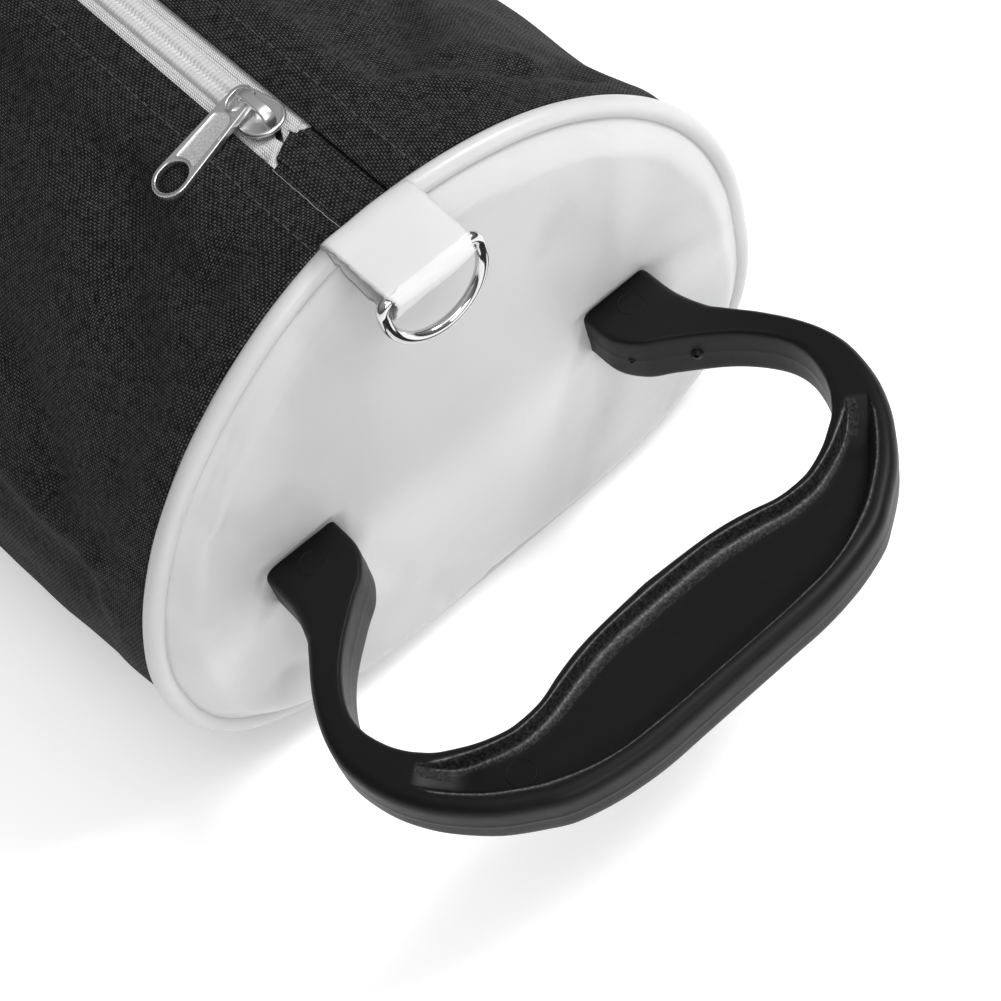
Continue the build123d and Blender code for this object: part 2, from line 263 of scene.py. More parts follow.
# ---- materials
class Nodes:
    """A material's node tree, built by short calls."""

    def __init__(self, name, **settings):
        self.material = bpy.data.materials.new(name)
        self.material.use_nodes = True
        self.tree = self.material.node_tree
        self.shader = self.tree.nodes["Principled BSDF"]
        for key, value in settings.items():
            self.shader.inputs[key.replace("_", " ")].default_value = value

    def node(self, kind, **settings):
        return configure(self.tree.nodes.new(kind), **settings)

    def filled(self, kind, **values):
        """A node whose named inputs are values or other nodes' outputs."""
        made = self.node(kind)
        for key, value in values.items():
            self.put(value, made.inputs[key.replace("_", " ")])
        return made

    def put(self, source, target):
        if isinstance(source, (int, float, tuple)):
            target.default_value = source
        else:
            self.tree.links.new(source, target)

    def math(self, operation, a, b=0.0, c=0.0):
        made = self.node("ShaderNodeMath", operation=operation)
        for value, socket in zip((a, b, c), made.inputs):
            self.put(value, socket)
        return made.outputs[0]

    def times(self, first, *others):
        for other in others:
            first = self.math("MULTIPLY", first, other)
        return first

    def scaled(self, value, factor, added):
        return self.math("MULTIPLY_ADD", value, factor, added)

    def place(self):
        """Position on the object at rest."""
        return self.node("ShaderNodeTexCoord").outputs["Object"]

    def weave_uv(self):
        pair = self.node("ShaderNodeSeparateXYZ")
        self.put(self.node("ShaderNodeUVMap", uv_map="weave").outputs[0], pair.inputs[0])
        return pair.outputs[0], pair.outputs[1]

    def noise(self, scale, detail=3.0, rough=0.5, vector=None):
        where = self.place() if vector is None else vector
        return self.filled("ShaderNodeTexNoise", Scale=scale, Detail=detail, Roughness=rough,
                           Vector=where).outputs["Fac"]

    def stretched(self, x, y, z):
        """Position scaled differently along the three axes."""
        return self.filled("ShaderNodeMapping", Scale=(x, y, z), Vector=self.place()).outputs[0]

    def ramp(self, value, stops):
        made = self.node("ShaderNodeValToRGB")
        steps = made.color_ramp.elements
        while len(steps) < len(stops):
            steps.new(0.5)
        for step, (where, colour) in zip(steps, stops):
            step.position = where
            step.color = (*colour, 1) if isinstance(colour, tuple) else (colour,) * 3 + (1,)
        self.put(value, made.inputs[0])
        return made.outputs[0]

    def range(self, value, low, high):
        return self.filled("ShaderNodeMapRange", Value=value, To_Min=low, To_Max=high).outputs[0]

    def mix(self, factor, a, b):
        made = self.node("ShaderNodeMix", data_type="RGBA")
        self.put(factor, made.inputs[0])
        self.put(a, made.inputs[6])
        self.put(b, made.inputs[7])
        return made.outputs[2]

    def set(self, socket, source):
        self.put(source, self.shader.inputs[socket])

    def mottle(self, value, low, high, start=0.3, stop=0.7):
        """A base colour that goes from one tone to another with the value."""
        self.set("Base Color", self.ramp(value, [(start, low), (stop, high)]))

    def rough(self, value, low, high):
        self.set("Roughness", self.range(value, low, high))

    def bump(self, height, distance):
        """Adds relief; further calls stack on the earlier ones."""
        made = self.filled("ShaderNodeBump", Distance=distance, Height=height)
        earlier = self.shader.inputs["Normal"].links
        if earlier:
            self.put(earlier[0].from_socket, made.inputs["Normal"])
        self.put(made.outputs[0], self.shader.inputs["Normal"])


def weave_height(n, u, v, pitch_u, pitch_v):
    """Height of a plain weave of flat yarns, 0 to 1, and its over-under parity."""
    a = n.math("DIVIDE", u, pitch_u)
    b = n.math("DIVIDE", v, pitch_v)
    parity = n.math("MODULO", n.math("ADD", n.math("FLOOR", a), n.math("FLOOR", b)), 2.0)
    parity = n.math("ABSOLUTE", parity)

    def wave(value):
        return n.math("ABSOLUTE", n.math("SINE", n.times(value, pi)))

    def yarn(across, along):
        dome = wave(across)
        body = n.times(n.math("POWER", dome, 0.6), n.math("POWER", wave(along), 0.5))
        return n.times(body, n.scaled(dome, 0.35, 0.65))

    made = n.node("ShaderNodeMix", data_type="FLOAT")
    n.put(parity, made.inputs[0])
    n.put(yarn(a, b), made.inputs[2])
    n.put(yarn(b, a), made.inputs[3])
    return made.outputs[0], parity


def oxford():
    """Black coated cloth in a plain weave of fairly coarse yarn, painted lighter on the yarn crowns and
    darker in the gaps: painted highlight and painted shade.
    """
    n = Nodes("black_oxford", Roughness=0.70, Specular_IOR_Level=0.09, Sheen_Weight=0.02,
              Sheen_Roughness=0.5)
    u, v = n.weave_uv()
    wander = n.times(n.math("SUBTRACT", n.noise(70, 3), 0.5), 1.5 * mm)
    height, parity = weave_height(n, n.math("ADD", u, wander), n.math("SUBTRACT", v, wander),
                                  0.62 * mm, 0.56 * mm)
    yarns = n.noise(1.0, 2, 0.5, n.stretched(2600, 900, 900))
    # painted highlight and painted shade: the colour follows the weave's height, light on the yarn crowns and
    # dark in the gaps; the noise terms are the yarns' own uneven tone
    tone = n.times(height, n.scaled(yarns, 1.1, 0.35), n.scaled(parity, 0.45, 0.70),
                   n.scaled(n.noise(620, 2), 1.5, 0.25))
    shade = n.ramp(tone, [(0.05, (0.0004, 0.0004, 0.0005)), (0.36, (0.0048, 0.0048, 0.0052)),
                          (0.90, (0.105, 0.105, 0.108))])
    worn = n.range(n.noise(14, 4, 0.6), 0.0, 0.5)
    n.set("Base Color", n.mix(worn, shade, (0.0038, 0.0038, 0.0042, 1)))
    n.bump(height, 0.26 * mm)
    n.bump(n.noise(520, 3), 0.12 * mm)
    return n.material


def vinyl(name, roughness=0.34, wrinkles=True, shade=0.60):
    """White coated vinyl: a satin skin with fine wrinkles from being pulled over the foam."""
    n = Nodes(name, Coat_Weight=0.15, Coat_Roughness=0.25, Specular_IOR_Level=0.4,
              Subsurface_Weight=0.05, Subsurface_Radius=(1.2 * mm, 1.1 * mm, 1.0 * mm))
    n.mottle(n.noise(22, 4), shade - 0.03, shade + 0.02)
    n.rough(n.noise(160, 3), roughness - 0.05, roughness + 0.08)
    if wrinkles:
        n.bump(n.noise(1.0, 4, 0.5, n.stretched(20, 26, 150)), 0.22 * mm)
        n.bump(n.noise(1.0, 2, 0.5, n.stretched(20, 150, 900)), 0.022 * mm)
    n.bump(n.noise(1500, 2), 0.018 * mm)
    return n.material


def tape_cloth(tone=0.66):
    """White woven tape with fine slanted ribs."""
    n = Nodes("white_tape", Roughness=0.7, Sheen_Weight=0.15, Sheen_Roughness=0.4)
    u, v = n.weave_uv()
    height, _ = weave_height(n, n.scaled(v, 0.9, u), v, 0.62 * mm, 0.52 * mm)
    # painted shade: the colour darkens with the weave's height into the gaps between the yarns and lightens
    # on their crowns; the noise is the tape's own uneven tone
    n.mottle(n.times(height, n.scaled(n.noise(260, 3), 1.0, 0.5)), tone * 0.55, tone * 1.12, 0.0, 0.85)
    n.bump(height, 0.14 * mm)
    n.bump(n.noise(900, 3), 0.08 * mm)
    return n.material


def polyester(name, tone, roughness=0.38):
    """Monofilament and sewing thread."""
    n = Nodes(name, Subsurface_Weight=0.12, Specular_IOR_Level=0.5, Subsurface_Radius=(0.6 * mm,) * 3)
    n.mottle(n.noise(300, 3), tone * 0.92, tone)
    n.rough(n.noise(900, 2), roughness - 0.06, roughness + 0.1)
    n.bump(n.noise(2500, 2), 0.02 * mm)
    return n.material


def moulded(name="black_plastic", tone=0.0042, grain_scale=2300, grain_depth=0.022, low=0.33, painted_sparkle=0):
    """Black moulded plastic, satin, with a faint flow pattern, fine scuffs and edges painted lighter, partly
    as rubbed wear and partly as painted highlight.
    """
    n = Nodes(name, Specular_IOR_Level=0.19)
    fine = n.noise(1500, 4, 0.75)
    if painted_sparkle:
        # light speckles in the colour: painted sparkle of the grain, over its real relief
        base = n.ramp(fine, [(0.42, tone * 0.5), (0.74, painted_sparkle)])
    else:
        base = n.ramp(n.noise(35, 4), [(0.3, tone * 0.7), (0.75, tone)])
    # rims painted lighter where the mesh marks them: rubbed wear and painted highlight along the edges
    edge_wear_and_highlight = n.node("ShaderNodeAttribute", attribute_name="edge_wear_and_highlight").outputs["Fac"]
    rub_and_highlight = n.times(n.math("POWER", edge_wear_and_highlight, 4.0), n.math("POWER", fine, 2.2))
    n.set("Base Color", n.mix(rub_and_highlight, base, (0.62, 0.62, 0.63, 1)))
    n.rough(n.noise(1.0, 6, 0.7, n.stretched(500, 120, 500)), low, low + 0.2)
    n.bump(n.noise(grain_scale, 3, 0.6), grain_depth * mm)
    n.bump(n.noise(95, 3), 0.10 * mm)
    return n.material


def metal(name, tone, rough_low, rough_high, relief=0.01, scale=900):
    n = Nodes(name, Metallic=1.0)
    n.mottle(n.noise(60, 4), tone * 0.9, tone)
    n.rough(n.noise(scale, 4, 0.65), rough_low, rough_high)
    n.bump(n.noise(scale * 1.7, 3), relief * mm)
    return n.material


def cast_matt():
    """The pull's sunken field: pearl-plated over a grained casting."""
    n = Nodes("nickel_matt", Metallic=1.0)
    n.mottle(n.noise(2600, 2), 0.66, 1.0, 0.25, 0.75)
    n.rough(n.noise(1800, 2), 0.42, 0.62)
    n.bump(n.noise(3000, 2), 0.05 * mm)
    return n.material


def fibrous(name, tone, scale):
    """Binding tape, sewing thread and the vinyl's cut edge."""
    n = Nodes(name, Roughness=0.8, Sheen_Weight=0.1)
    n.mottle(n.noise(scale, 3), tone * 0.6, tone * 1.3)
    n.bump(n.noise(scale * 2, 2), 0.1 * mm)
    return n.material


def foam():
    n = Nodes("end_foam", Roughness=0.95)
    cells = n.filled("ShaderNodeTexVoronoi", Scale=900, Vector=n.place()).outputs["Distance"]
    n.mottle(cells, (0.6, 0.59, 0.55), (0.80, 0.79, 0.75), 0.1, 0.6)
    n.bump(cells, 0.3 * mm)
    return n.material


def board():
    n = Nodes("hardboard", Roughness=0.7)
    fibres = n.noise(1.0, 5, 0.7, n.stretched(900, 300, 300))
    n.mottle(fibres, (0.20, 0.125, 0.07), (0.36, 0.25, 0.15))
    n.bump(fibres, 0.08 * mm)
    return n.material


cloth_black = oxford()
vinyl_white = vinyl("white_vinyl")
# painted light: the tab's vinyl is the panels' white vinyl painted lighter (shade 0.70 against 0.60),
# standing in for the stronger light on the tab
vinyl_tab_painted_lighter = vinyl("white_vinyl_tab", 0.33, wrinkles=False, shade=0.70)
vinyl_piping = vinyl("white_piping", 0.30, wrinkles=False, shade=0.60)
tape_white = tape_cloth()
coil_white = polyester("white_coil", 0.62)
thread_white = polyester("white_thread", 0.42, 0.5)
plastic_black = moulded()
# the grained plastic is painted lighter than the plain one and speckled: painted sparkle on the pocket's
# slopes, over the grain's real relief
plastic_grained = moulded("black_plastic_grained", 0.007, 1700, 0.16, 0.44, 0.045)
nickel = metal("nickel", 0.82, 0.25, 0.36, 0.0004, 400)
nickel_matt = cast_matt()
chrome = metal("bright_chrome", 0.66, 0.05, 0.12, 0.002, 500)
zinc = metal("zinc_steel", 0.6, 0.3, 0.45, 0.02)
thread_black = fibrous("black_thread", 0.05, 1500)
binding_black = fibrous("black_binding", 0.028, 900)
cut_edge = fibrous("vinyl_cut_edge", 0.36, 2200)
foam_white = foam()
board_brown = board()


# ---- body cloth
def section(depth, side, count=420):
    """Half of the body's cross-section, (y, z) from the zip's edge to the bottom."""
    sag = math.sin(pi * min(max(depth / length, 0), 1))
    rest = 1 - (1 - sag) ** 3
    half_width = end_half_width - seam_inset + sag_width * sag
    # the lean dies away from the ends
    lean = (1 - sag) ** 2
    half_width += lean_width[side] * lean
    top = end_top - seam_inset + 0.5 * mm
    bottom = max((end_bottom + seam_inset) * (1 - rest) - 1 * mm, floor_gap)
    widest = end_widest + sag_widest * sag + lean_widest[side] * lean
    angle = np.linspace(pi / 2, -pi / 2, count)
    across, up = np.cos(angle), np.sin(angle)
    power = np.where(up > 0, end_shoulder + sag_shoulder * sag + lean_shoulder[side] * lean,
                     end_belly + sag_belly * sag + lean_belly[side] * lean)
    reach = (np.abs(across) ** power + np.abs(up) ** power) ** (-1 / power)
    ridge = np.where(up > 0, ridge_flat, ridge_flat * np.abs(across))
    y = ridge + (half_width - ridge) * reach * np.abs(across)
    z = widest + np.where(up > 0, top - widest, widest - bottom) * reach * up
    return np.concatenate([[[slot_half, top]], np.stack([y, z], axis=1)])


def along_length(curve):
    """How far along a curve each of its points lies."""
    steps = np.linalg.norm(np.diff(curve, axis=0), axis=1)
    return np.concatenate([[0], np.cumsum(steps)])


side_cols, back_cols = 66, 24


def body_row(depth):
    """Points round the body at one station, from the zip's -Y edge to its +Y edge."""
    halves = []
    for side in (-1, 1):
        curve = section(depth, side)
        run = along_length(curve)
        # the search skips the shoulder's points
        below = np.argmax((curve[:, 1] < back_seam_height) & (np.arange(len(curve)) > 50))
        stops = np.concatenate([np.linspace(0, run[below], side_cols + 1),
                                np.linspace(run[below], run[-1], back_cols + 1)[1:]])
        y, z = (np.interp(stops, run, curve[:, k]) for k in (0, 1))
        around = side * (run[-1] - stops)
        halves.append(np.stack([np.full_like(y, face_x - depth), side * y, z, around], axis=1))
    row = np.concatenate([halves[0], halves[1][-2::-1]])
    return row[:, :3], row[:, 3]


body_rows = 150
depths = np.linspace(body_start, length - body_start, body_rows)
body_grid, body_around = map(np.array, zip(*(body_row(d) for d in depths)))
body_depth = face_x - body_grid[..., 0]


def simulate(grid, pins, frames, slack, pressure, cap, gravity=1.0, stiff=12.0, bending=0.6, mass=0.25):
    """Lets a grid of points hang as cloth, and returns how far each point moved, at most the cap."""
    cloth = new_mesh("cloth_working", grid, quads(*grid.shape[:2]))
    group = cloth.vertex_groups.new(name="pins")
    weights = np.clip(pins, 0, 1).ravel().round(2)
    for level in np.unique(weights):
        group.add([int(i) for i in np.flatnonzero(weights == level)], float(level), "REPLACE")
    modifier = add_modifier(cloth, "CLOTH", "cloth")
    configure(modifier.settings, quality=8, mass=mass, tension_stiffness=stiff,
              compression_stiffness=stiff, shear_stiffness=stiff / 2, bending_stiffness=bending,
              vertex_group_mass="pins", pin_stiffness=1.0, shrink_min=-slack,
              use_pressure=True, uniform_pressure_force=pressure)
    modifier.settings.effector_weights.gravity = gravity
    modifier.collision_settings.use_collision = False
    configure(modifier.point_cache, frame_start=1, frame_end=frames)
    for frame_number in range(1, frames + 1):
        bpy.context.scene.frame_set(frame_number)
    result = cloth.evaluated_get(bpy.context.evaluated_depsgraph_get()).to_mesh()
    moved = np.empty(grid.size)
    result.vertices.foreach_get("co", moved)
    moved = moved.reshape(grid.shape) - grid
    bpy.context.scene.frame_set(1)
    bpy.data.objects.remove(cloth, do_unlink=True)
    size = np.linalg.norm(moved, axis=2, keepdims=True)
    return moved * (cap * np.tanh(size / cap) / np.maximum(size, 1e-9))


def outward(grid):
    """Normals of the body's grid that point out of the bag."""
    way = normals(grid)
    return way if way[0, grid.shape[1] // 4, 1] < 0 else -way


def body_sag():
    """Where the cloth settles between its sewn edges, as an offset of each point."""
    step = 3
    coarse = body_grid[::step, ::step]
    rows, cols = coarse.shape[:2]
    pins = np.full((rows, cols), 0.06)
    pins[:2] = pins[-2:] = 1
    pins[:, :3] = pins[:, -3:] = 1
    pins[:, side_cols // step: cols - side_cols // step] = 1
    # a little unevenness, so that the slack has somewhere to fold
    bumps = grain(coarse, 28.0, 3.1)[..., None] * normals(coarse) * 1.2 * mm
    start = coarse + bumps * (1 - pins[..., None])
    moved = simulate(start, pins, 24, slack=0.022, pressure=0.9, cap=4.5 * mm) + (start - coarse)
    # what is packed inside stops the cloth from falling in
    way = outward(coarse)
    out = np.sum(moved * way, axis=2, keepdims=True)
    wide = out.copy()
    for _ in range(8):
        wide[1:-1, 1:-1] = (wide[:-2, 1:-1] + wide[2:, 1:-1] + wide[1:-1, :-2] + wide[1:-1, 2:]) / 4
    moved -= way * (wide - 0.7 * mm * np.tanh(wide / (2 * mm)))
    return refine(moved, *body_grid.shape[:2])


def stroke(depth, around, path, width, height):
    """A soft ridge (or a crease, height < 0) along a path of (depth, around) points."""
    place = np.stack([depth, around], axis=-1)
    best = np.full(depth.shape, 1e9)
    path = np.asarray(path, float) * mm
    for a, b in zip(path[:-1], path[1:]):
        line = b - a
        t = np.clip(((place - a) @ line) / (line @ line), 0, 1)
        gap = np.linalg.norm(place - a - t[..., None] * line, axis=-1)
        best = np.minimum(best, gap)
    return height * mm * bell(best, width * mm)


# soft creases and ridges: (depth, around) points, half-width and height in millimetres
body_folds = [
    ([(72, 190), (52, 197), (38, 206)], 4.0, -3.0),
    ([(34, 212), (24, 198), (14, 172)], 4.0, -2.2),
    ([(48, 180), (34, 192), (26, 186)], 7.5, 2.4),
    ([(75, -146), (56, -143), (40, -139), (20, -138)], 4.0, 3.2),
    ([(72, -132), (48, -128), (28, -126)], 6.5, -3.4),
    ([(24, -137), (16, -124), (13, -104)], 4.0, 2.2),
    ([(60, -214), (47, -206), (36, -190)], 8.0, -2.2),
    ([(88, -176), (66, -170), (50, -160), (40, -150)], 5.5, -2.2),
    ([(95, -205), (80, -190), (62, -175)], 9.0, -1.0),
    ([(110, 205), (92, 190), (84, 165)], 8.0, -1.4), ([(150, -170), (128, -190), (118, -205)], 9.0, -1.2),
    ([(210, 160), (190, 180), (180, 205)], 9.0, -1.3), ([(250, -150), (238, -172), (240, -200)], 8.0, -1.5),
    ([(300, 195), (318, 178), (336, 150)], 7.0, -1.6), ([(305, -200), (322, -180), (340, -150)], 7.0, -1.5),
]


def body_relief():
    """Folds, seam puckers and the long soft creases, as heights along the normal."""
    from_seam = np.minimum(body_depth, length - body_depth) - body_start
    ripple = np.sin(body_around / (5.3 * mm) * pi + 2.2 * grain(body_grid, 30.0, 9.0) * pi)
    height = 0.30 * mm * ripple * np.exp(-from_seam / (7 * mm)) * smooth(0, 3 * mm, from_seam)
    height += 1.1 * mm * grain(body_grid, 24.0, 5.0) * smooth(4 * mm, 40 * mm, from_seam)
    height += 0.5 * mm * grain(body_grid, 60.0, 2.0) * smooth(4 * mm, 30 * mm, from_seam)
    for path, wide, high in body_folds:
        height += stroke(body_depth, body_around, path, wide, high) * smooth(0, 10 * mm, from_seam)
    return height


settled = body_sag()
relief = body_relief()
edge_hold = smooth(0, 7 * mm, np.minimum(
    np.abs(body_around - body_around[:, :1]), np.abs(body_around[:, -1:] - body_around)))
flat_back = smooth(side_cols - 6, side_cols + 6, np.minimum(
    np.arange(body_grid.shape[1]), body_grid.shape[1] - 1 - np.arange(body_grid.shape[1])))
outwards = outward(body_grid)
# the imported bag's widest parts near the handle end stay taut
taut = 1 - 0.7 * smooth(0.55, 0.2, np.abs(outwards[..., 2])) * smooth(150 * mm, 90 * mm, body_depth)
body_points = body_grid + settled * (edge_hold * taut)[..., None]
body_points += outwards * (relief * edge_hold * taut * (1 - flat_back[None, :]))[..., None]
body_points[..., 2] = np.maximum(body_points[..., 2], floor_gap)


# how far the turned-in cloth goes along the bag and towards its middle, in millimetres
lip_steps = ((1.6, 2.6), (1.3, 1.2), (0.7, 0.35))
# how far the cloth folded under along the zip goes inwards and down, and its run in the weave
hem_steps = ((0.22, 0.22, 0.5), (0.2, 0.5, 1.0), (-0.6, 0.9, 2.0), (-2.2, 1.7, 3.8))


def turned_ends(points, around):
    """Adds rows that turn the cloth in under the piping at both ends."""
    def lip(row, step, drop):
        towards = unit((np.array([0, 0, end_widest]) - row) * (0, 1, 1))
        return row + np.array([step * mm, 0, 0]) + towards * drop * mm

    front = [lip(points[0], step, drop) for step, drop in lip_steps]
    back = [lip(points[-1], -step, drop) for step, drop in lip_steps[::-1]]
    extra = len(lip_steps)
    return (np.concatenate([front, points, back]),
            np.concatenate([around[:1]] * extra + [around] + [around[-1:]] * extra))


body_points, around_all = turned_ends(body_points, body_around)
weave_uvs = np.stack([around_all, body_points[..., 0]], axis=-1)


def zip_hem(points, uvs, side):
    """Adds columns that fold the cloth under along the zip, at the first columns or the last."""
    if side < 0:
        points, uvs = points[:, ::-1], uvs[:, ::-1]
    folds = np.array([(0, -side * inwards, -down) for inwards, down, _ in hem_steps]) * mm
    shifts = np.array([(side * run, 0) for _, _, run in hem_steps]) * mm
    points = np.concatenate([points, points[:, -1:] + folds], axis=1)
    uvs = np.concatenate([uvs, uvs[:, -1:] + shifts], axis=1)
    return (points[:, ::-1], uvs[:, ::-1]) if side < 0 else (points, uvs)


def make_body():
    left, right, back = slice(0, side_cols + 1), slice(-side_cols - 1, None), slice(side_cols, -side_cols)
    for name, node, (points, uvs) in (
        ("body_cloth_left", "body_panel_left", zip_hem(body_points[:, left], weave_uvs[:, left], -1)),
        ("body_cloth_right", "body_panel_right", zip_hem(body_points[:, right], weave_uvs[:, right], 1)),
        ("back_cloth", "back_panel", (body_points[:, back], weave_uvs[:, back])),
    ):
        thing = grid_mesh(name, points, True, uvs)
        subdivide(thing)
        finish_piece(thing, cloth_black, replaced=(node,))


make_body()


def surface(depth, around):
    """A point on the finished cloth, at a depth and a place round the section."""
    row = np.interp(depth, depths, np.arange(body_rows)) + len(lip_steps)
    low = int(row)
    line = lerp(body_points[low], body_points[low + 1], row - low)
    where = body_around[low - len(lip_steps)]
    return np.array([np.interp(around, where, line[:, k]) for k in range(3)])


stitch_pitch = 3.1 * mm
stitch_gap = 0.5 * mm
stitch_radius = 0.17 * mm
stitch_inset = 7.1 * mm


def stitch_row(name, path):
    """A run of sewn stitches: short rounded strands that dip into the cloth at both ends."""
    parts = []
    path = np.asarray(path)
    run = along_length(path)
    for index in range(int(run[-1] / stitch_pitch)):
        start = index * stitch_pitch + stitch_gap / 2
        stops = np.linspace(start, start + stitch_pitch - stitch_gap, 5)
        strand = np.stack([np.interp(stops, run, path[:, k]) for k in range(3)], axis=1)
        strand[:, 2] += 0.12 * mm - np.array([2.2, 0.5, 0, 0.5, 2.2]) * stitch_radius
        parts.append(tube(strand, stitch_radius * np.array([0.6, 1, 1, 1, 0.6]), 6))
    finish_piece(new_mesh(name, *joined(parts)), thread_black)


def topstitching():
    for side, name in ((-1, "topstitch_left"), (1, "topstitch_right")):
        path = []
        for depth in np.linspace(body_start + 0.5 * mm, length - body_start - 0.5 * mm, 300):
            ends = body_around[int(np.interp(depth, depths, np.arange(body_rows)))]
            around = ends[0] + stitch_inset if side < 0 else ends[-1] - stitch_inset
            path.append(surface(depth, around))
        stitch_row(name, path)


topstitching()


# ---- end panels
def outline_at(angle, inset):
    """Points of the end outline, (y, z), at angles from +Y, anticlockwise, moved inwards."""
    across, up = np.cos(angle), np.sin(angle)

    def leaning(lean):
        return np.where(across > 0, lean[1], lean[-1])

    widest = end_widest + leaning(lean_widest)
    power = np.where(up > 0, end_shoulder + leaning(lean_shoulder), end_belly + leaning(lean_belly))
    reach = (np.abs(across) ** power + np.abs(up) ** power) ** (-1 / power)
    half_width = end_half_width + leaning(lean_width) - inset
    rise = np.where(up > 0, end_top - inset - widest, widest - end_bottom - inset)
    return np.stack([half_width * reach * across, widest + rise * reach * up], axis=-1)


panel_inset = 2 * bead_radius - 0.4 * mm
foot_y = 43.35 * mm
foot_half = (8.4 * mm, 5.8 * mm)
foot_sink = 1.8 * mm
skin_rim_sink = 2.4 * mm
skin_puff = 4.2 * mm
low_swell = 1.2 * mm
foam_sink = 3.0 * mm
foam_thick = 1.2 * mm
foam_share = 0.86


def panel_grid(cells):
    """Points of the panel's outline filled by a square grid, and their distance in from the rim."""
    line = np.linspace(-1, 1, cells + 1)
    u, v = np.meshgrid(line, line, indexing="ij")
    x = u * np.sqrt(1 - v * v / 2)
    y = v * np.sqrt(1 - u * u / 2)
    radius = np.minimum(np.hypot(x, y), 1)
    angle = np.arctan2(y, x)
    rim = outline_at(angle, panel_inset)
    centre = np.array([0, end_widest])
    points = centre + (rim - centre) * radius[..., None]
    reach = np.linalg.norm(rim - centre, axis=-1) * (1 - radius)
    return points, reach


def foot_press(points):
    """1 under the handle's feet, 0 away from them."""
    across = np.maximum(np.abs(np.abs(points[..., 0]) - foot_y) - foot_half[0], 0)
    up = np.maximum(np.abs(points[..., 1] - handle_mid_z) - foot_half[1], 0)
    return 1 - smooth(0, 4 * mm, np.hypot(across, up))


# soft dents round the feet: start (y, z), run (dy, dz), depth and half-width, in millimetres
panel_dents = [
    (-52.0, 47.0, -6.0, -18.0, 1.3, 4.0), (-33.0, 46.0, 5.0, -14.0, 0.8, 4.0),
    (35.0, 44.0, -3.0, -12.0, 1.0, 4.0), (52.0, 44.0, 7.0, -12.0, 0.8, 4.5),
    (-60.0, 30.0, 16.0, -6.0, 0.7, 2.5), (-70.0, 62.0, 2.0, 20.0, 0.5, 3.0),
    (50.0, 69.0, -17.0, 20.0, 0.7, 6.0), (52.0, 66.0, 22.0, -8.0, -0.6, 4.0),
    (46.0, 80.0, 6.0, 16.0, -0.5, 6.0), (-54.0, 64.0, -4.0, 22.0, 0.5, 5.0),
    (-40.0, 40.0, 12.0, -12.0, -0.5, 5.0), (-36.0, 28.0, 14.0, -6.0, 0.5, 4.0),
]
# how far the skin's rim turns back beside the piping, and how far out, in millimetres
rim_steps = ((1.2, 0.5), (2.6, 0.8), (4.6, 0.8))


def panel_height(flat, reach, press, handle_end):
    """How far the padded skin stands out of the end's plane."""
    height = skin_puff * smooth(-1.5 * mm, 6.5 * mm, reach) - skin_rim_sink - foot_sink * press
    low_rim = smooth(0.1, 0.9, (end_widest - flat[..., 1]) / (end_widest - end_bottom))
    height += low_swell * low_rim * bell(reach - 7 * mm, 4.5 * mm) * (1 - press)
    for y, z, dy, dz, deep, wide in panel_dents if handle_end else ():
        start, run = np.array([y, z]) * mm, np.array([dy, dz]) * mm
        share = np.clip((flat - start) @ run / (run @ run), 0, 1)
        gap = np.linalg.norm(flat - start - share[..., None] * run, axis=-1)
        height -= deep * mm * bell(gap, wide * mm) * (1 - press)
    return height


def make_panel(name, handle_end, node, seed):
    flat, reach = panel_grid(52)
    press = foot_press(flat) * handle_end
    height = panel_height(flat, reach, press, handle_end)
    grid = np.stack([height, flat[..., 0], flat[..., 1]], axis=-1)
    pins = np.full(flat.shape[:2], 0.02)
    pins[(reach < 2.0 * mm) | (press > 0.6)] = 1
    uneven = grain(grid, 35.0, seed) * 0.35 * mm * (1 - pins)
    grid = grid + uneven[..., None] * np.array([1, 0, 0])
    grid = grid + simulate(grid, pins, 20, slack=0.002, pressure=-0.9, gravity=0.0,
                           cap=2.5 * mm, stiff=14.0, bending=3.0, mass=0.3)
    fine = 156
    points = refine(grid, fine, fine)
    # the skin's rim turns back into the groove beside the piping
    ring = np.concatenate([
        np.arange(fine), np.arange(1, fine) * fine + fine - 1,
        (fine - 1) * fine + np.arange(fine - 2, -1, -1), np.arange(fine - 2, 0, -1) * fine])
    count = len(ring)
    rim = points.reshape(-1, 3)[ring]
    towards = unit((rim - np.array([0, 0, end_widest])) * (0, 1, 1))
    rows = [rim + towards * grow * mm - np.array([back * mm, 0, 0]) for back, grow in rim_steps]
    everything = np.concatenate([points.reshape(-1, 3)] + rows)
    uvs = everything[:, 1:3].copy()
    faces = quads(fine, fine)
    circuits = [ring] + [fine * fine + level * count + np.arange(count) for level in range(len(rows))]
    for inner, outer in zip(circuits[:-1], circuits[1:]):
        for i in range(count):
            j = (i + 1) % count
            faces.append(tuple(int(k) for k in (inner[j], inner[i], outer[i], outer[j])))
    if handle_end:
        everything[:, 0] += face_x
    else:
        everything[:, 0] = far_x - everything[:, 0]
        faces = flip(faces)
    thing = new_mesh(name, everything, faces, uvs)
    finish_piece(thing, vinyl_white, replaced=(node,))


make_panel("end_skin_handle", True, "handle_end_panel", 1.0)
make_panel("end_skin_far", False, "far_end_panel", 7.0)


def make_foam(name, handle_end, node):
    """The thin foam sheet behind a panel's skin."""
    flat, _ = panel_grid(24)
    centre = np.array([0, end_widest])
    flat = centre + (flat - centre) * foam_share
    depth = -foam_sink - foam_thick * foot_press(flat) * handle_end
    depth += 0.15 * mm * grain(np.dstack([flat, flat[..., :1]]), 300.0)
    x = face_x + depth if handle_end else far_x - depth
    thing = grid_mesh(name, np.dstack([x, flat]), not handle_end, thick=foam_thick)
    finish_piece(thing, foam_white, replaced=(node,))


make_foam("end_foam_handle", True, "handle_end_pad")
make_foam("end_foam_far", False, "far_end_pad")


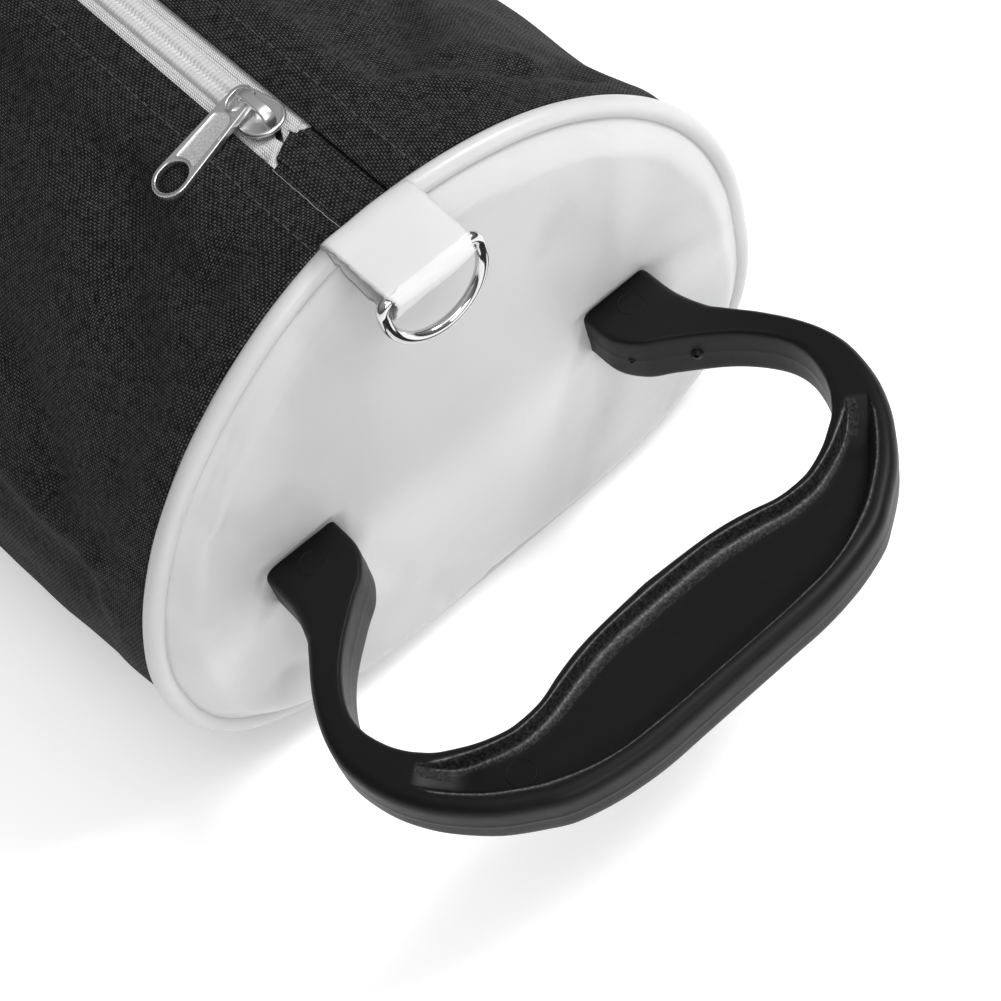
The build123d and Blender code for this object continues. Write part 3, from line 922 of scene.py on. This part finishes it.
def make_piping(name, x_centre, node, seed):
    """A vinyl-covered cord sewn round the end."""
    count = 300
    rim = outline_at(circle(count), bead_radius)
    path = np.stack([np.full(count, x_centre), rim[:, 0], rim[:, 1]], axis=1)
    path[:, 0] += grain(path, 40.0, seed) * 0.25 * mm
    radius = bead_radius * (1 + 0.025 * grain(path, 90.0, seed + 4))
    thing = new_mesh(name, *tube(path, radius, 18, closed=True, up=(1, 0, 0)))
    subdivide(thing)
    finish_piece(thing, vinyl_piping, replaced=(node,))


make_piping("piping_handle_end", bead_x, "handle_end_piping", 2.0)
make_piping("piping_far_end", far_x + (face_x - bead_x), "far_end_piping", 8.0)


# ---- zip
tape_start = tape_high.x
tape_stop = tape_low.x
chain_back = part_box("zipper_coil_left")[0].x
coil_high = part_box("zipper_coil_left")[1].z
chain_front = (slider_box[0].x + slider_box[1].x) / 2 + 4.6 * mm
loop_pitch = 1.16 * mm
tape_level = tape_top + 1.15 * mm
tape_half = 8.0 * mm
tape_thick = 0.35 * mm
tape_fray = 0.7
strip_half = 7.8 * mm
strip_lift = 2.15 * mm
strip_front = 27.0
chain_z = (tape_top + coil_high) / 2


def strip_cut(y):
    """How far behind the face the front strip's ragged end lies, across the zip, in millimetres."""
    return np.interp(y, (-7.8, -6.5, -3.75, -3.60, 2.20, 2.3, 5.9, 7.8),
                     (26.8, 27.3, 28.4, 29.3, 32.4, 30.8, 31.7, 31.8))


def make_tape(name, side, node):
    """One woven tape; its cut end is crumpled and frayed, and leans away from the chain."""
    ends = np.linspace(0, 13 * mm, 60)
    x = np.concatenate([tape_start + 3.5 * mm - ends, np.linspace(tape_start - 9.7 * mm, tape_stop, 230)])
    cols = 22
    share = np.linspace(0, 1, cols)
    behind = (face_x - x) / mm
    if side > 0:
        inner = np.interp(behind, (27, 32.1, 39.5, 43, 44), (-2.0, -0.1, 3.4, 0.6, 0.5))
    else:
        inner = np.interp(behind, (27, 32.1, 34.7, 38, 44), (-0.6, 0.25, 0.9, 0.7, 0.5))
    y = lerp(inner[:, None] * mm, tape_half, share[None, :])
    grid = np.zeros((len(x), cols, 3))
    grid[..., 0] = x[:, None]
    grid[..., 1] = side * y
    near = np.exp(-np.maximum(behind - strip_front, 0) / 6.5)[:, None]
    fray = np.array([random.uniform(-tape_fray, tape_fray) for _ in range(cols)]) * mm
    grid[..., 0] += near**2 * fray[None, :]
    crumple = grain(grid, 260.0, side * 3.0) * 0.8 + grain(grid, 560.0, 8.0) * 0.35
    grid[..., 2] = tape_level + 0.10 * mm * grain(grid, 60.0, side * 3.0)
    loose = near * smooth(8.0, 6.2, y / mm)
    grid[..., 2] += loose * np.minimum(crumple * 3.4, 0.55) * mm
    grid[..., 2] -= 1.0 * mm * smooth(0.2, -0.9, behind[:, None] - strip_cut(side * y / mm))
    grid[..., 2] -= 0.25 * mm * smooth(4.6 * mm, 6.2 * mm, y)
    ridges = 0.12 * bell(y / mm - 4.0, 0.3) - 0.25 * bell(y / mm - 3.35, 0.16)
    grid[..., 2] += ridges * mm * (1 - near)
    thing = grid_mesh(name, grid, side < 0, grid[..., :2], thick=tape_thick)
    finish_piece(thing, tape_white, replaced=(node,))


make_tape("zip_tape_left", -1, "zipper_tape_left")
make_tape("zip_tape_right", 1, "zipper_tape_right")


# across a turn of the coil: distance from the middle and height, in millimetres
coil_arch = [(-0.45, 0.15), (-0.25, 0.42), (0.0, 0.62), (0.25, 0.74), (0.5, 0.82), (0.85, 0.88), (1.25, 0.90),
             (1.6, 0.88), (1.95, 0.90), (2.3, 0.84), (2.65, 0.66), (2.9, 0.35), (3.1, -0.05), (3.3, -0.6)]


def make_coil(name, side, node):
    """One side of the closed chain: close-set turns with their heads locked at the centre."""
    steps = 8
    turns = int((chain_front - chain_back) / loop_pitch)
    t = np.arange(turns * steps + 1) / steps
    y, arch = np.array(coil_arch).T
    turn = 0.5 - 0.5 * np.cos(2 * pi * (t + (0.5 if side > 0 else 0.0)))[:, None]
    gap = 1 - smooth(0.0, 0.85, y)[None, :]
    z = arch[None, :] - turn**1.5 * (0.07 + (1.35 if side < 0 else 0.55) * gap)
    rib = 0.5 * bell(y - 1.25, 0.3) + (0.9 if side > 0 else 0.3) * bell(y - 2.3, 0.22)
    z = z + 0.20 * rib[None, :] * np.abs(np.sin(pi * (t[:, None] + 0.25)))
    ends = np.minimum(t, t[::-1])[:, None]
    z = lerp(-0.6, z, smooth(-0.5, 2.5, ends))
    x = chain_front - t * loop_pitch
    grid = np.zeros((len(t), len(y), 3))
    grid[..., 0] = x[:, None]
    grid[..., 1] = side * y[None, :] * mm
    grid[..., 2] = chain_z + z * mm
    grid[..., 2] += 0.05 * mm * grain(grid, 420.0, side * 2.0)
    thing = grid_mesh(name, grid, side < 0)
    finish_piece(thing, coil_white, replaced=(node,))


make_coil("zip_coil_left", -1, "zipper_coil_left")
make_coil("zip_coil_right", 1, "zipper_coil_right")


def make_strip(name, node, handle_side):
    """Black cloth strip between the end of the tape and the end seam, cut off ragged."""
    low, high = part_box(node)
    rows, cols = 60, 80
    y = np.linspace(-strip_half, strip_half, cols)
    if handle_side:
        near = high.x - 0.2 * mm
        cut = face_x - strip_cut(y / mm) * mm
    else:
        near = low.x
        cut = np.full(cols, high.x)
    cut = cut + np.array([random.uniform(-0.07, 0.07) for _ in range(cols)]) * mm
    share = np.linspace(0, 1, rows)[:, None]
    grid = np.zeros((rows, cols, 3))
    grid[..., 0] = near + (cut[None, :] - near) * share
    grid[..., 1] = y[None, :]
    grid[..., 2] = low.z + strip_lift + 0.2 * mm * grain(grid, 90.0, 6.0)
    grid[..., 2] += 0.22 * mm * grain(grid, 420.0, 1.0) * smooth(0.6, 1.0, share)
    grid[..., 2] -= 0.9 * mm * smooth(0.62, 1.0, np.abs(y) / strip_half)[None, :]
    grid[..., 2] -= 0.8 * mm * smooth(4.4 * mm, 5.8 * mm, y)[None, :]
    lifted = smooth(0.70, 0.97, share) * smooth(4.6, 3.2, np.abs(y / mm))[None, :]
    grid[..., 2] += 0.75 * mm * lifted * handle_side
    grid[..., 2] -= 0.25 * mm * smooth(0.975, 1.0, share)
    thing = grid_mesh(name, grid, handle_side, grid[..., 1::-1])
    finish_piece(thing, cloth_black, replaced=(node,))


make_strip("zip_strip_front", "zipper_strip_front", True)
make_strip("zip_strip_back", "zipper_strip_back", False)


def loose_threads():
    """The light thread along one edge of the strip, and a stray end of fibre at its notch."""
    y, z = -6.35 * mm, tape_top + 2.55 * mm
    path = np.linspace((face_x - strip_front * mm, y, z), (face_x - 5 * mm, y, z), 70)
    path[:, 1] += 0.12 * mm * grain(path, 240.0, 1.0)
    path[:, 2] += 0.45 * mm * grain(path, 520.0, 3.0) - 0.10 * mm
    fibre = np.array([(-33.3, 2.0, 1.9), (-32.5, 2.15, 2.3), (-31.7, 2.3, 2.3), (-31.0, 2.45, 1.9)]) * mm
    fibre += (face_x, 0, tape_top)
    strands = joined([tube(path, 0.055 * mm, 6), tube(catmull(fibre, 12), 0.17 * mm, 6)])
    finish_piece(new_mesh("zip_loose_threads", *strands), thread_white)


loose_threads()


# ---- slider, pull and stop
def left_of(heading):
    """Flat headings turned a quarter turn anticlockwise."""
    return np.stack([-heading[:, 1], heading[:, 0]], axis=1)


def plate(loops, low, high, edge, dish=0.0):
    """Points and faces of a flat plate with rounded edges.

    The first loop is the outline, anticlockwise; the others are holes, clockwise.
    dish sinks the middle of the top below its rim.
    """
    steps = [(0.0, edge), (0.08 * edge, 0.62 * edge), (0.3 * edge, 0.3 * edge),
             (0.62 * edge, 0.08 * edge), (edge, 0.0)]
    levels = [(inset, high - drop) for inset, drop in steps]
    levels += [(edge + 0.12, high), (edge + 0.22, high - dish), (edge + 0.34, high - dish)]
    below = [(inset, low + drop) for inset, drop in steps] + [(edge + 0.12, low)]
    levels = below[::-1] + levels
    points, faces, top, bottom, start = [], [], [], [], 0
    for loop in loops:
        count = len(loop)
        inwards = left_of(loop_heading(loop))
        for inset, z in levels:
            ring = loop + inwards * inset
            points += [(x, y, z) for x, y in ring]
        faces += [tuple(i + start for i in f) for f in quads(len(levels), count, wrap_cols=True)]
        top.append((start + (len(levels) - 1) * count, count))
        bottom.append((start, count))
        start += len(levels) * count
    points = np.array(points)
    for caps, way in ((top, 1), (bottom, -1)):
        index = [list(range(first, first + count)) for first, count in caps]
        corners = sum(index, [])
        for triangle in geometry.tessellate_polygon([[Vector(points[k]) for k in loop] for loop in index]):
            a, b, c = (corners[k] for k in triangle)
            (ux, uy), (vx, vy) = (points[k, :2] - points[a, :2] for k in (b, c))
            faces.append((a, b, c) if (ux * vy - uy * vx) * way > 0 else (a, c, b))
    return points, faces


def oval(x, half_length, half_width, count=56, clockwise=False):
    turn = circle(count) * (-1 if clockwise else 1)
    straight = half_length - half_width
    return np.stack([x + straight * np.tanh(6 * np.cos(turn)) + half_width * np.cos(turn),
                     half_width * np.sin(turn)], axis=1)


def hull(x0, r0, x1, r1, count=44):
    """Outline of two circles on the x axis and their outer tangents."""
    lean = math.asin((r1 - r0) / (x1 - x0))

    def arc(x, r, start, stop):
        turn = np.linspace(start, stop, count)
        return np.stack([x + r * np.cos(turn), r * np.sin(turn)], axis=1)

    right = arc(x1, r1, -pi / 2 - lean, pi / 2 + lean)
    left = arc(x0, r0, pi / 2 + lean, 3 * pi / 2 - lean)
    return np.concatenate([right, np.linspace(right[-1], left[0], 14)[1:-1],
                           left, np.linspace(left[-1], right[0], 14)[1:-1]])


def place_mesh(name, shape, x_dir, z_dir, origin, material, body, replaced=()):
    """Makes a nickel piece from points and faces in millimetres in a plane of its own."""
    points, faces = shape
    axes = np.stack([x_dir, np.cross(z_dir, x_dir), z_dir])
    thing = new_mesh(name, np.array(origin) + mm * (points @ axes), faces)
    finish_piece(thing, material, body, replaced)


def make_pull():
    """A die-cast pull: polished rims round an eye, a sunken grained blade and a finger hole."""
    z_dir = np.array(pull_normal)
    heading = math.radians(-83.8)
    x_dir = np.array([math.cos(heading), math.sin(heading), 0])
    x_dir = unit(x_dir - z_dir * (x_dir @ z_dir))
    offset = np.array([0, -0.7])
    half, sunk = 0.7, 0.32
    outline = hull(0.5, 3.05, 21.0, 4.35) + offset
    eye = oval(1.05, 2.65, 2.1, clockwise=True) + offset
    hole_x = 20.8
    hole = oval(hole_x, 3.7, 3.35, clockwise=True) + offset
    # the blade's field, anticlockwise: hollow round the finger hole, bulging round the eye
    far = np.array([(hole_x - 4.65 * math.cos(a), 4.65 * math.sin(a)) for a in np.linspace(-0.60, 0.60, 15)])
    half_turn = np.linspace(pi / 2, 3 * pi / 2, 19)
    near = np.array([(6.5 + 2.07 * math.cos(a), 2.35 * math.sin(a)) for a in half_turn])
    field = np.concatenate([far, np.linspace(far[-1], near[0], 14)[1:-1],
                            near, np.linspace(near[-1], far[0], 14)[1:-1]])
    rims = plate([outline, eye, hole, field[::-1] + offset], -half, half, 0.24)
    centre = field.mean(axis=0)
    blade = plate([centre + (field - centre) * (1.02, 1.04) + offset], sunk - half, half - sunk, 0.05)
    place_mesh("pull_rims", rims, x_dir, z_dir, pull_axis, nickel, "pull", ("zipper_pull",))
    place_mesh("pull_blade", blade, x_dir, z_dir, pull_axis, nickel_matt, "pull")


make_pull()


def swept(path, half_width, half_thick, corner):
    """A rounded bar swept along a path in the x-z plane."""
    path = catmull(path, 40)
    normal = left_of(unit(np.gradient(path, axis=0)))
    cross = []
    for cy, cz, first in ((1, 1, 0), (-1, 1, 1), (-1, -1, 2), (1, -1, 3)):
        for k in range(4):
            a = (first + k / 3) * pi / 2
            cross.append((cy * (half_width - corner) + corner * math.cos(a),
                          cz * (half_thick - corner) + corner * math.sin(a)))
    cross = np.array(cross)
    points = np.zeros((len(path), len(cross), 3))
    points[..., 0] = path[:, :1] + normal[:, :1] * cross[None, :, 1]
    points[..., 1] = cross[None, :, 0]
    points[..., 2] = path[:, 1:] + normal[:, 1:] * cross[None, :, 1]
    return points.reshape(-1, 3), quads(len(path), len(cross), wrap_cols=True)


def make_slider():
    """The slider's two plates, post and flanges, and the crown that the pull hangs on."""
    x0 = (slider_box[0].x + slider_box[1].x) / 2
    base = slider_box[0].z / mm
    top = slider_box[1].z / mm - 4.2
    arc = np.linspace(-1, 1, 40)
    front = np.stack([1.5 + 5.7 * np.sqrt(np.maximum(1 - arc**2, 0)) ** 0.92, 4.9 * arc], axis=1)
    tail = np.array([(-6.4, 3.25), (-7.0, 2.9), (-7.2, 2.3), (-7.2, 0.0)])
    tail = np.concatenate([tail, tail[-2::-1] * (1, -1)])
    plan = np.concatenate([front, np.linspace(front[-1], tail[0], 10)[1:-1],
                           tail, np.linspace(tail[-1], front[0], 10)[1:-1]])
    parts = [
        plate([plan], top - 1.1, top, 0.42, dish=0.10),
        plate([plan], base, base + 1.0, 0.3),
        plate([oval(3.2, 1.5, 0.45, 28)], base + 0.6, top - 0.8, 0.08),
    ]
    for side in (-1, 1):
        parts.append(plate([oval(-1.2, 3.5, 0.34, 28) + (0, side * 3.75)], top - 1.9, top - 0.9, 0.1))
    parts.append(swept([(-3.1, 124.6), (-3.25, 126.4), (-2.9, 128.0), (-1.5, 128.75), (1.6, 128.8),
                        (4.3, 128.55), (5.7, 127.6), (6.15, 126.2), (6.2, 124.7)], 1.25, 0.55, 0.4))
    place_mesh("slider_casting", joined(parts), (1, 0, 0), (0, 0, 1), (x0, 0, 0), nickel, "slider",
               ("zipper_slider",))


make_slider()


# ---- handle
# stations: inner edge (y, x), outer edge (y, x), inner rim, outer rim, pocket depth
handle_stations = [
    (34.2, -0.6, 52.5, -0.6, 8.0, 8.0, 0),
    (34.2, 0.0, 52.5, 0.0, 8.0, 8.0, 0),
    (34.4, 8.5, 52.8, 9.5, 8.0, 8.0, 0),
    (37.5, 14.3, 54.8, 17.0, 7.0, 7.0, 0),
    (42.5, 18.2, 56.8, 20.5, 6.0, 6.0, 0),
    (50.5, 25.0, 61.0, 27.0, 4.5, 4.5, 0),
    (55.5, 31.0, 64.0, 33.0, 3.6, 3.6, 0),
    (58.6, 37.0, 66.2, 39.5, 3.4, 3.4, 0),
    (59.2, 42.5, 67.0, 45.5, 3.4, 3.4, 0),
    (57.8, 48.0, 66.3, 51.5, 3.6, 3.8, 0),
    (56.0, 51.6, 64.9, 56.6, 3.2, 3.9, 0.0),
    (54.2, 54.0, 62.9, 61.0, 3.1, 3.9, 0.0),
    (51.9, 56.4, 60.2, 65.4, 2.8, 4.0, 1.9),
    (48.9, 58.4, 56.2, 70.3, 2.4, 4.3, 4.0),
    (45.2, 60.5, 51.6, 74.8, 2.1, 4.5, 4.0),
    (40.8, 62.2, 45.2, 79.3, 1.9, 4.6, 4.0),
    (37.0, 62.9, 40.3, 82.1, 1.9, 4.8, 4.0),
    (31.0, 62.6, 33.0, 84.3, 1.8, 4.2, 4.0),
    (25.0, 60.8, 26.0, 85.5, 2.1, 3.9, 4.0),
    (19.0, 59.4, 19.5, 86.0, 2.2, 4.0, 4.0),
    (12.0, 58.6, 12.5, 86.0, 2.0, 3.7, 4.0),
    (0.0, 57.9, 0.0, 86.0, 2.4, 3.7, 4.0),
]
inner_round = 1.4
outer_round = 2.9
parting = 0.13


def handle_profile(span, rim_in, rim_out, pocket):
    """Half of a cross-section, from the parting line on the inner side over the top to the outer one."""
    half = handle_half / mm
    outer = min(outer_round, span * 0.3)
    points = [(-parting, 0.0), (0.0, 0.35), (0.0, half * 0.5)]
    for a in np.linspace(0, pi / 2, 5):
        points.append((inner_round * (1 - math.cos(a)), half - inner_round * (1 - math.sin(a))))
    wall = 0.25 * pocket
    middle = (rim_in + span - rim_out) / 2
    floor_in = min(rim_in + wall, middle)
    floor_out = max(span - rim_out - wall * 1.3, middle)
    points += [
        (max(rim_in - 0.25, inner_round + 0.1), half), (rim_in + 0.12 * wall, half - 0.14 * pocket),
        (lerp(rim_in, floor_in, 0.6), half - 0.6 * pocket),
        (floor_in, half - 0.94 * pocket), (floor_in + 0.12 * (floor_out - floor_in), half - pocket),
    ]
    points += [(lerp(floor_in, floor_out, share), half - pocket) for share in (0.3, 0.5, 0.7, 0.88)]
    points += [
        (floor_out, half - 0.94 * pocket), (lerp(span - rim_out, floor_out, 0.6), half - 0.6 * pocket),
        (span - rim_out - 0.12 * wall, half - 0.14 * pocket),
        (min(span - rim_out + 0.3, span - outer - 0.1), half),
    ]
    for a in np.linspace(0, pi / 2, 7):
        points.append((span - outer * (1 - math.sin(a)), half - outer * (1 - math.cos(a))))
    points += [(span, half * 0.25), (span, 0.35), (span + parting, 0.0)]
    return points


# columns of the profile: 0-7 inner side and its round, 8 rim, 9-12 slope, 13-16 floor, 17-19 slope, 20 rim
# rim and slope columns painted lighter: rubbed wear and painted highlight
profile_wear_and_highlight = {8: 1.0, 11: 0.94, 20: 0.97}
grained_columns = (8, 9, 10, 11, 17, 18, 19)
ramp_columns = range(8, 14)
# ejector pins: x, y and how far below the top; sprues: x, y, heading and radius; in millimetres
ejector_pins = ((5.4, 43.5, 0.0), (5.4, -43.5, 0.0), (69.9, -42.7, 4.0))
pin_radius = 2.9
sprues = ((21.6, 46.5, 0.65, -0.75, 1.45), (12.4, 36.4, 0.6, -0.8, 0.9))


def make_handle():
    rows = np.concatenate([[handle_stations[0]], catmull(handle_stations[1:], 210)])
    arm = []
    for inner_y, inner_x, outer_y, outer_x, rim_in, rim_out, pocket in rows:
        start = np.array([inner_x, inner_y])
        line = np.array([outer_x, outer_y]) - start
        span = np.linalg.norm(line)
        half = handle_profile(span, rim_in, rim_out, max(pocket, 0))
        loop = half + [(w, -h) for w, h in half[-2:0:-1]]
        arm.append([(*(start + line / span * w), h) for w, h in loop])
    arm = np.array(arm) * mm
    # the other arm is the first one's mirror image
    points = np.concatenate([arm, arm[-2::-1] * (1, -1, 1)]) + (face_x, 0, handle_mid_z)
    rows_pocket = np.concatenate([rows[:, 6], rows[-2::-1, 6]])
    count, cols = points.shape[:2]
    faces = quads(count, cols, wrap_cols=True)
    faces.append(tuple(reversed(range(cols))))
    faces.append(tuple(range((count - 1) * cols, count * cols)))
    thing = new_mesh("handle_moulding", points, faces)
    # the slopes of the pocket keep a spark-eroded grain, its light speckles painted sparkle, and its edges
    # are painted lighter: rubbed wear and painted highlight
    edge_wear_and_highlight = np.zeros((count, cols))
    ease = 0.001 + smooth(0.5, 2.0, rows_pocket)
    for col, amount in profile_wear_and_highlight.items():
        edge_wear_and_highlight[:, [col, cols - col]] = amount * np.minimum(ease, 1)[:, None]
    thing.data.attributes.new("edge_wear_and_highlight", "FLOAT", "POINT").data.foreach_set("value", edge_wear_and_highlight.ravel())
    finish_piece(thing, (plastic_black, plastic_grained), replaced=("handle",))
    for face in range((count - 1) * cols):
        row, col = divmod(face, cols)
        col = min(col, cols - 1 - col)
        sloping = col in grained_columns and ease[row] > 0.1
        ramping = col in ramp_columns and 0.12 < rows_pocket[row] < 3.6
        thing.data.polygons[face].material_index = int(sloping or ramping)
    subdivide(thing)


make_handle()


def mould_marks():
    """Rings left by the ejector pins, and the cut-off sprues on one arm."""
    parts = []
    turn = circle(40)
    for x, y, down in ejector_pins:
        path = np.stack([x + pin_radius * np.cos(turn), y + pin_radius * np.sin(turn),
                         0 * turn - down - 0.05], axis=1)
        parts.append(tube(path * mm + (face_x, 0, handle_box[1].z), 0.17 * mm, 6, closed=True))
    # the cut-off sprues stand a little proud of the parting line
    for x, y, dx, dy, size in sprues:
        out = np.array([-1.0, 0.0, 0.55, 0.75])[:, None] * np.array([dx, dy, 0])
        nub = (np.array([x, y, 0]) + out) * mm + (face_x, 0, handle_mid_z)
        parts.append(tube(nub, np.array([1.0, 1.0, 0.85, 0.4]) * size * mm, 14))
    finish_piece(new_mesh("handle_pin_marks", *joined(parts)), plastic_black)


mould_marks()


# ---- tab and D-ring
bar_y = ring_axis.y
tab_half = 9.9 * mm
tab_thick = 0.95 * mm
tab_fray = 0.22 * mm


def make_tab():
    """A vinyl strip folded double round the ring's bar, its cut ends sewn into the top seam."""
    upper = [(-4.4, 122.9), (-3.9, 124.5), (-2.4, 125.9), (0.5, 126.5), (5.0, 126.3), (10.0, 125.95)]
    turn = np.linspace(pi / 2, pi / 2 - pi / 1.05, 9)
    fold = [(15.5 + 2.45 * math.cos(a), 123.4 + 2.3 * math.sin(a)) for a in turn]
    lower = [(11.0, 121.0), (6.0, 121.9), (1.0, 122.9), (-2.4, 123.2), (-3.8, 122.1)]
    rows, cols = 90, 26
    path = catmull(np.array(upper + fold + lower) * mm, rows)
    across = np.linspace(-1, 1, cols)
    share = np.linspace(0, 1, rows)[:, None]
    # the strip is narrowest in the fold, where the ring's wire passes beside it
    width = tab_half * (1 + 0.012 * np.sin(share * 9.0)) - 0.8 * mm * bell(share - 0.5, 0.12)
    curl = 0.40 * mm * np.abs(across) ** 5 - 0.12 * mm * np.sin(across * 4.0 + 0.6)
    normal = left_of(unit(np.gradient(path, axis=0)))
    flat = path[:, None] - normal[:, None] * curl[None, :, None]
    grid = np.stack([face_x + flat[..., 0], bar_y + across * width, flat[..., 1]], axis=-1)
    # the two layers part on the -Y side, towards the seam
    spread = smooth(0.58, 0.72, share) * smooth(1.0, 0.86, share) * smooth(0.3, -1.0, across)
    grid[..., 2] -= 1.5 * mm * spread
    grid[..., 2] += 0.18 * mm * grain(grid, 110.0, 4.0)
    fray = np.array([random.uniform(-1, 1) for _ in range(rows)]) * tab_fray
    grid[:, 0, 1] -= fray
    grid[:, -1, 1] += fray
    thing = grid_mesh("ring_tab", grid, False, thick=tab_thick, offset=0, material_offset_rim=1)
    finish_piece(thing, (vinyl_tab_painted_lighter, cut_edge), replaced=("dring_tab",))


make_tab()


def make_ring():
    """The D-ring: bent wire, straight along its bar."""
    half, straight, corner, wire = 11.3, 4.0, 2.2, 1.3
    path = [(y, 0) for y in np.linspace(0, half - corner, 8)[:-1]]
    for a in np.linspace(0, pi / 2, 9):
        path.append((half - corner + corner * math.sin(a), -corner + corner * math.cos(a)))
    path += [(half, z) for z in np.linspace(-corner, -straight, 4)[1:-1]]
    path += [(half * math.cos(a), -straight - half * math.sin(a)) for a in np.linspace(0, pi / 2, 26)]
    path = np.array(path + [(-y, z) for y, z in path[-2:0:-1]]) * mm
    points = np.stack([0 * path[:, 0], path[:, 0], path[:, 1]], axis=1) + np.array(ring_axis)
    thing = new_mesh("ring_wire", *tube(points, wire * mm, 20, closed=True, up=(1, 0, 0)))
    subdivide(thing)
    finish_piece(thing, chrome, body="ring", replaced=("d_ring",))


make_ring()


# ---- carried-over nodes
for node, material, soften in (
    ("zipper_stop", nickel, 0.2),
    ("handle_screws", zinc, 0.3), ("handle_washers", zinc, 0.2),
    ("handle_end_board", board_brown, 0), ("far_end_board", board_brown, 0),
    ("handle_end_binding", binding_black, 0), ("far_end_binding", binding_black, 0),
):
    thing = frame["nodes"][node]
    for material_slot in thing.material_slots:
        material_slot.material = material
    if soften:
        add_modifier(thing, "BEVEL", "edges", width=soften * mm, segments=3, limit_method="ANGLE",
                     angle_limit=math.radians(35), harden_normals=False)


# ---- floor, light, camera
camera_place = (0.383925, -0.099031, 0.407757)
camera_right = (0.62603, 0.75207, -0.20611)
camera_up = (-0.57195, 0.6225, 0.5342)
camera_back = (0.53006, -0.21654, 0.81985)
focal_length = 75.52
floor_half = 60


def area_light(name, place, size, power):
    data = configure(bpy.data.lights.new(name, "AREA"), shape="RECTANGLE", size=size[0],
                     size_y=size[1], energy=power)
    lamp = bpy.data.objects.new(name, data)
    lamp.location = place
    lamp.rotation_euler = (Vector((face_x, 0, 0.06)) - Vector(place)).to_track_quat("-Z", "Y").to_euler()
    bpy.context.scene.collection.objects.link(lamp)


def make_floor():
    corners = [(x * floor_half, y * floor_half, 0) for x, y in ((-1, -1), (1, -1), (1, 1), (-1, 1))]
    floor = new_mesh("floor", corners, [(0, 1, 2, 3)])
    floor.data.materials.append(Nodes("floor", Base_Color=(0.93, 0.93, 0.93, 1), Roughness=0.9,
                                      Emission_Color=(1, 1, 1, 1), Emission_Strength=0.32).material)


def make_sky():
    """Light that grows from the horizon up."""
    world = bpy.data.worlds.new("studio")
    world.use_nodes = True
    bpy.context.scene.world = world
    tree = world.node_tree
    height = tree.nodes.new("ShaderNodeSeparateXYZ")
    tree.links.new(tree.nodes.new("ShaderNodeTexCoord").outputs["Generated"], height.inputs[0])
    sky = tree.nodes.new("ShaderNodeValToRGB")
    for step, (where, tone) in zip(sky.color_ramp.elements, ((0.06, 0.05), (0.80, 0.40))):
        step.position, step.color = where, (tone, tone, tone, 1)
    tree.links.new(height.outputs[2], sky.inputs[0])
    tree.links.new(sky.outputs[0], tree.nodes["Background"].inputs["Color"])


def make_camera():
    """The photo's own view, solved from the handle."""
    data = configure(bpy.data.cameras.new("camera"), sensor_width=36, lens=focal_length, clip_start=0.01)
    camera = bpy.data.objects.new("camera", data)
    turn = Matrix((camera_right, camera_up, camera_back)).transposed().to_4x4()
    camera.matrix_world = Matrix.Translation(camera_place) @ turn
    bpy.context.scene.collection.objects.link(camera)
    bpy.context.scene.camera = camera


make_floor()
make_sky()
area_light("key", (0.50, 0.95, 1.20), (0.42, 0.42), 12.5)
area_light("top", (0.45, 0.10, 1.5), (1.3, 0.9), 6.5)
area_light("front", (1.35, -0.15, 0.80), (0.9, 0.7), 7.0)
bpy.context.scene.view_settings.view_transform = "Standard"
make_camera()
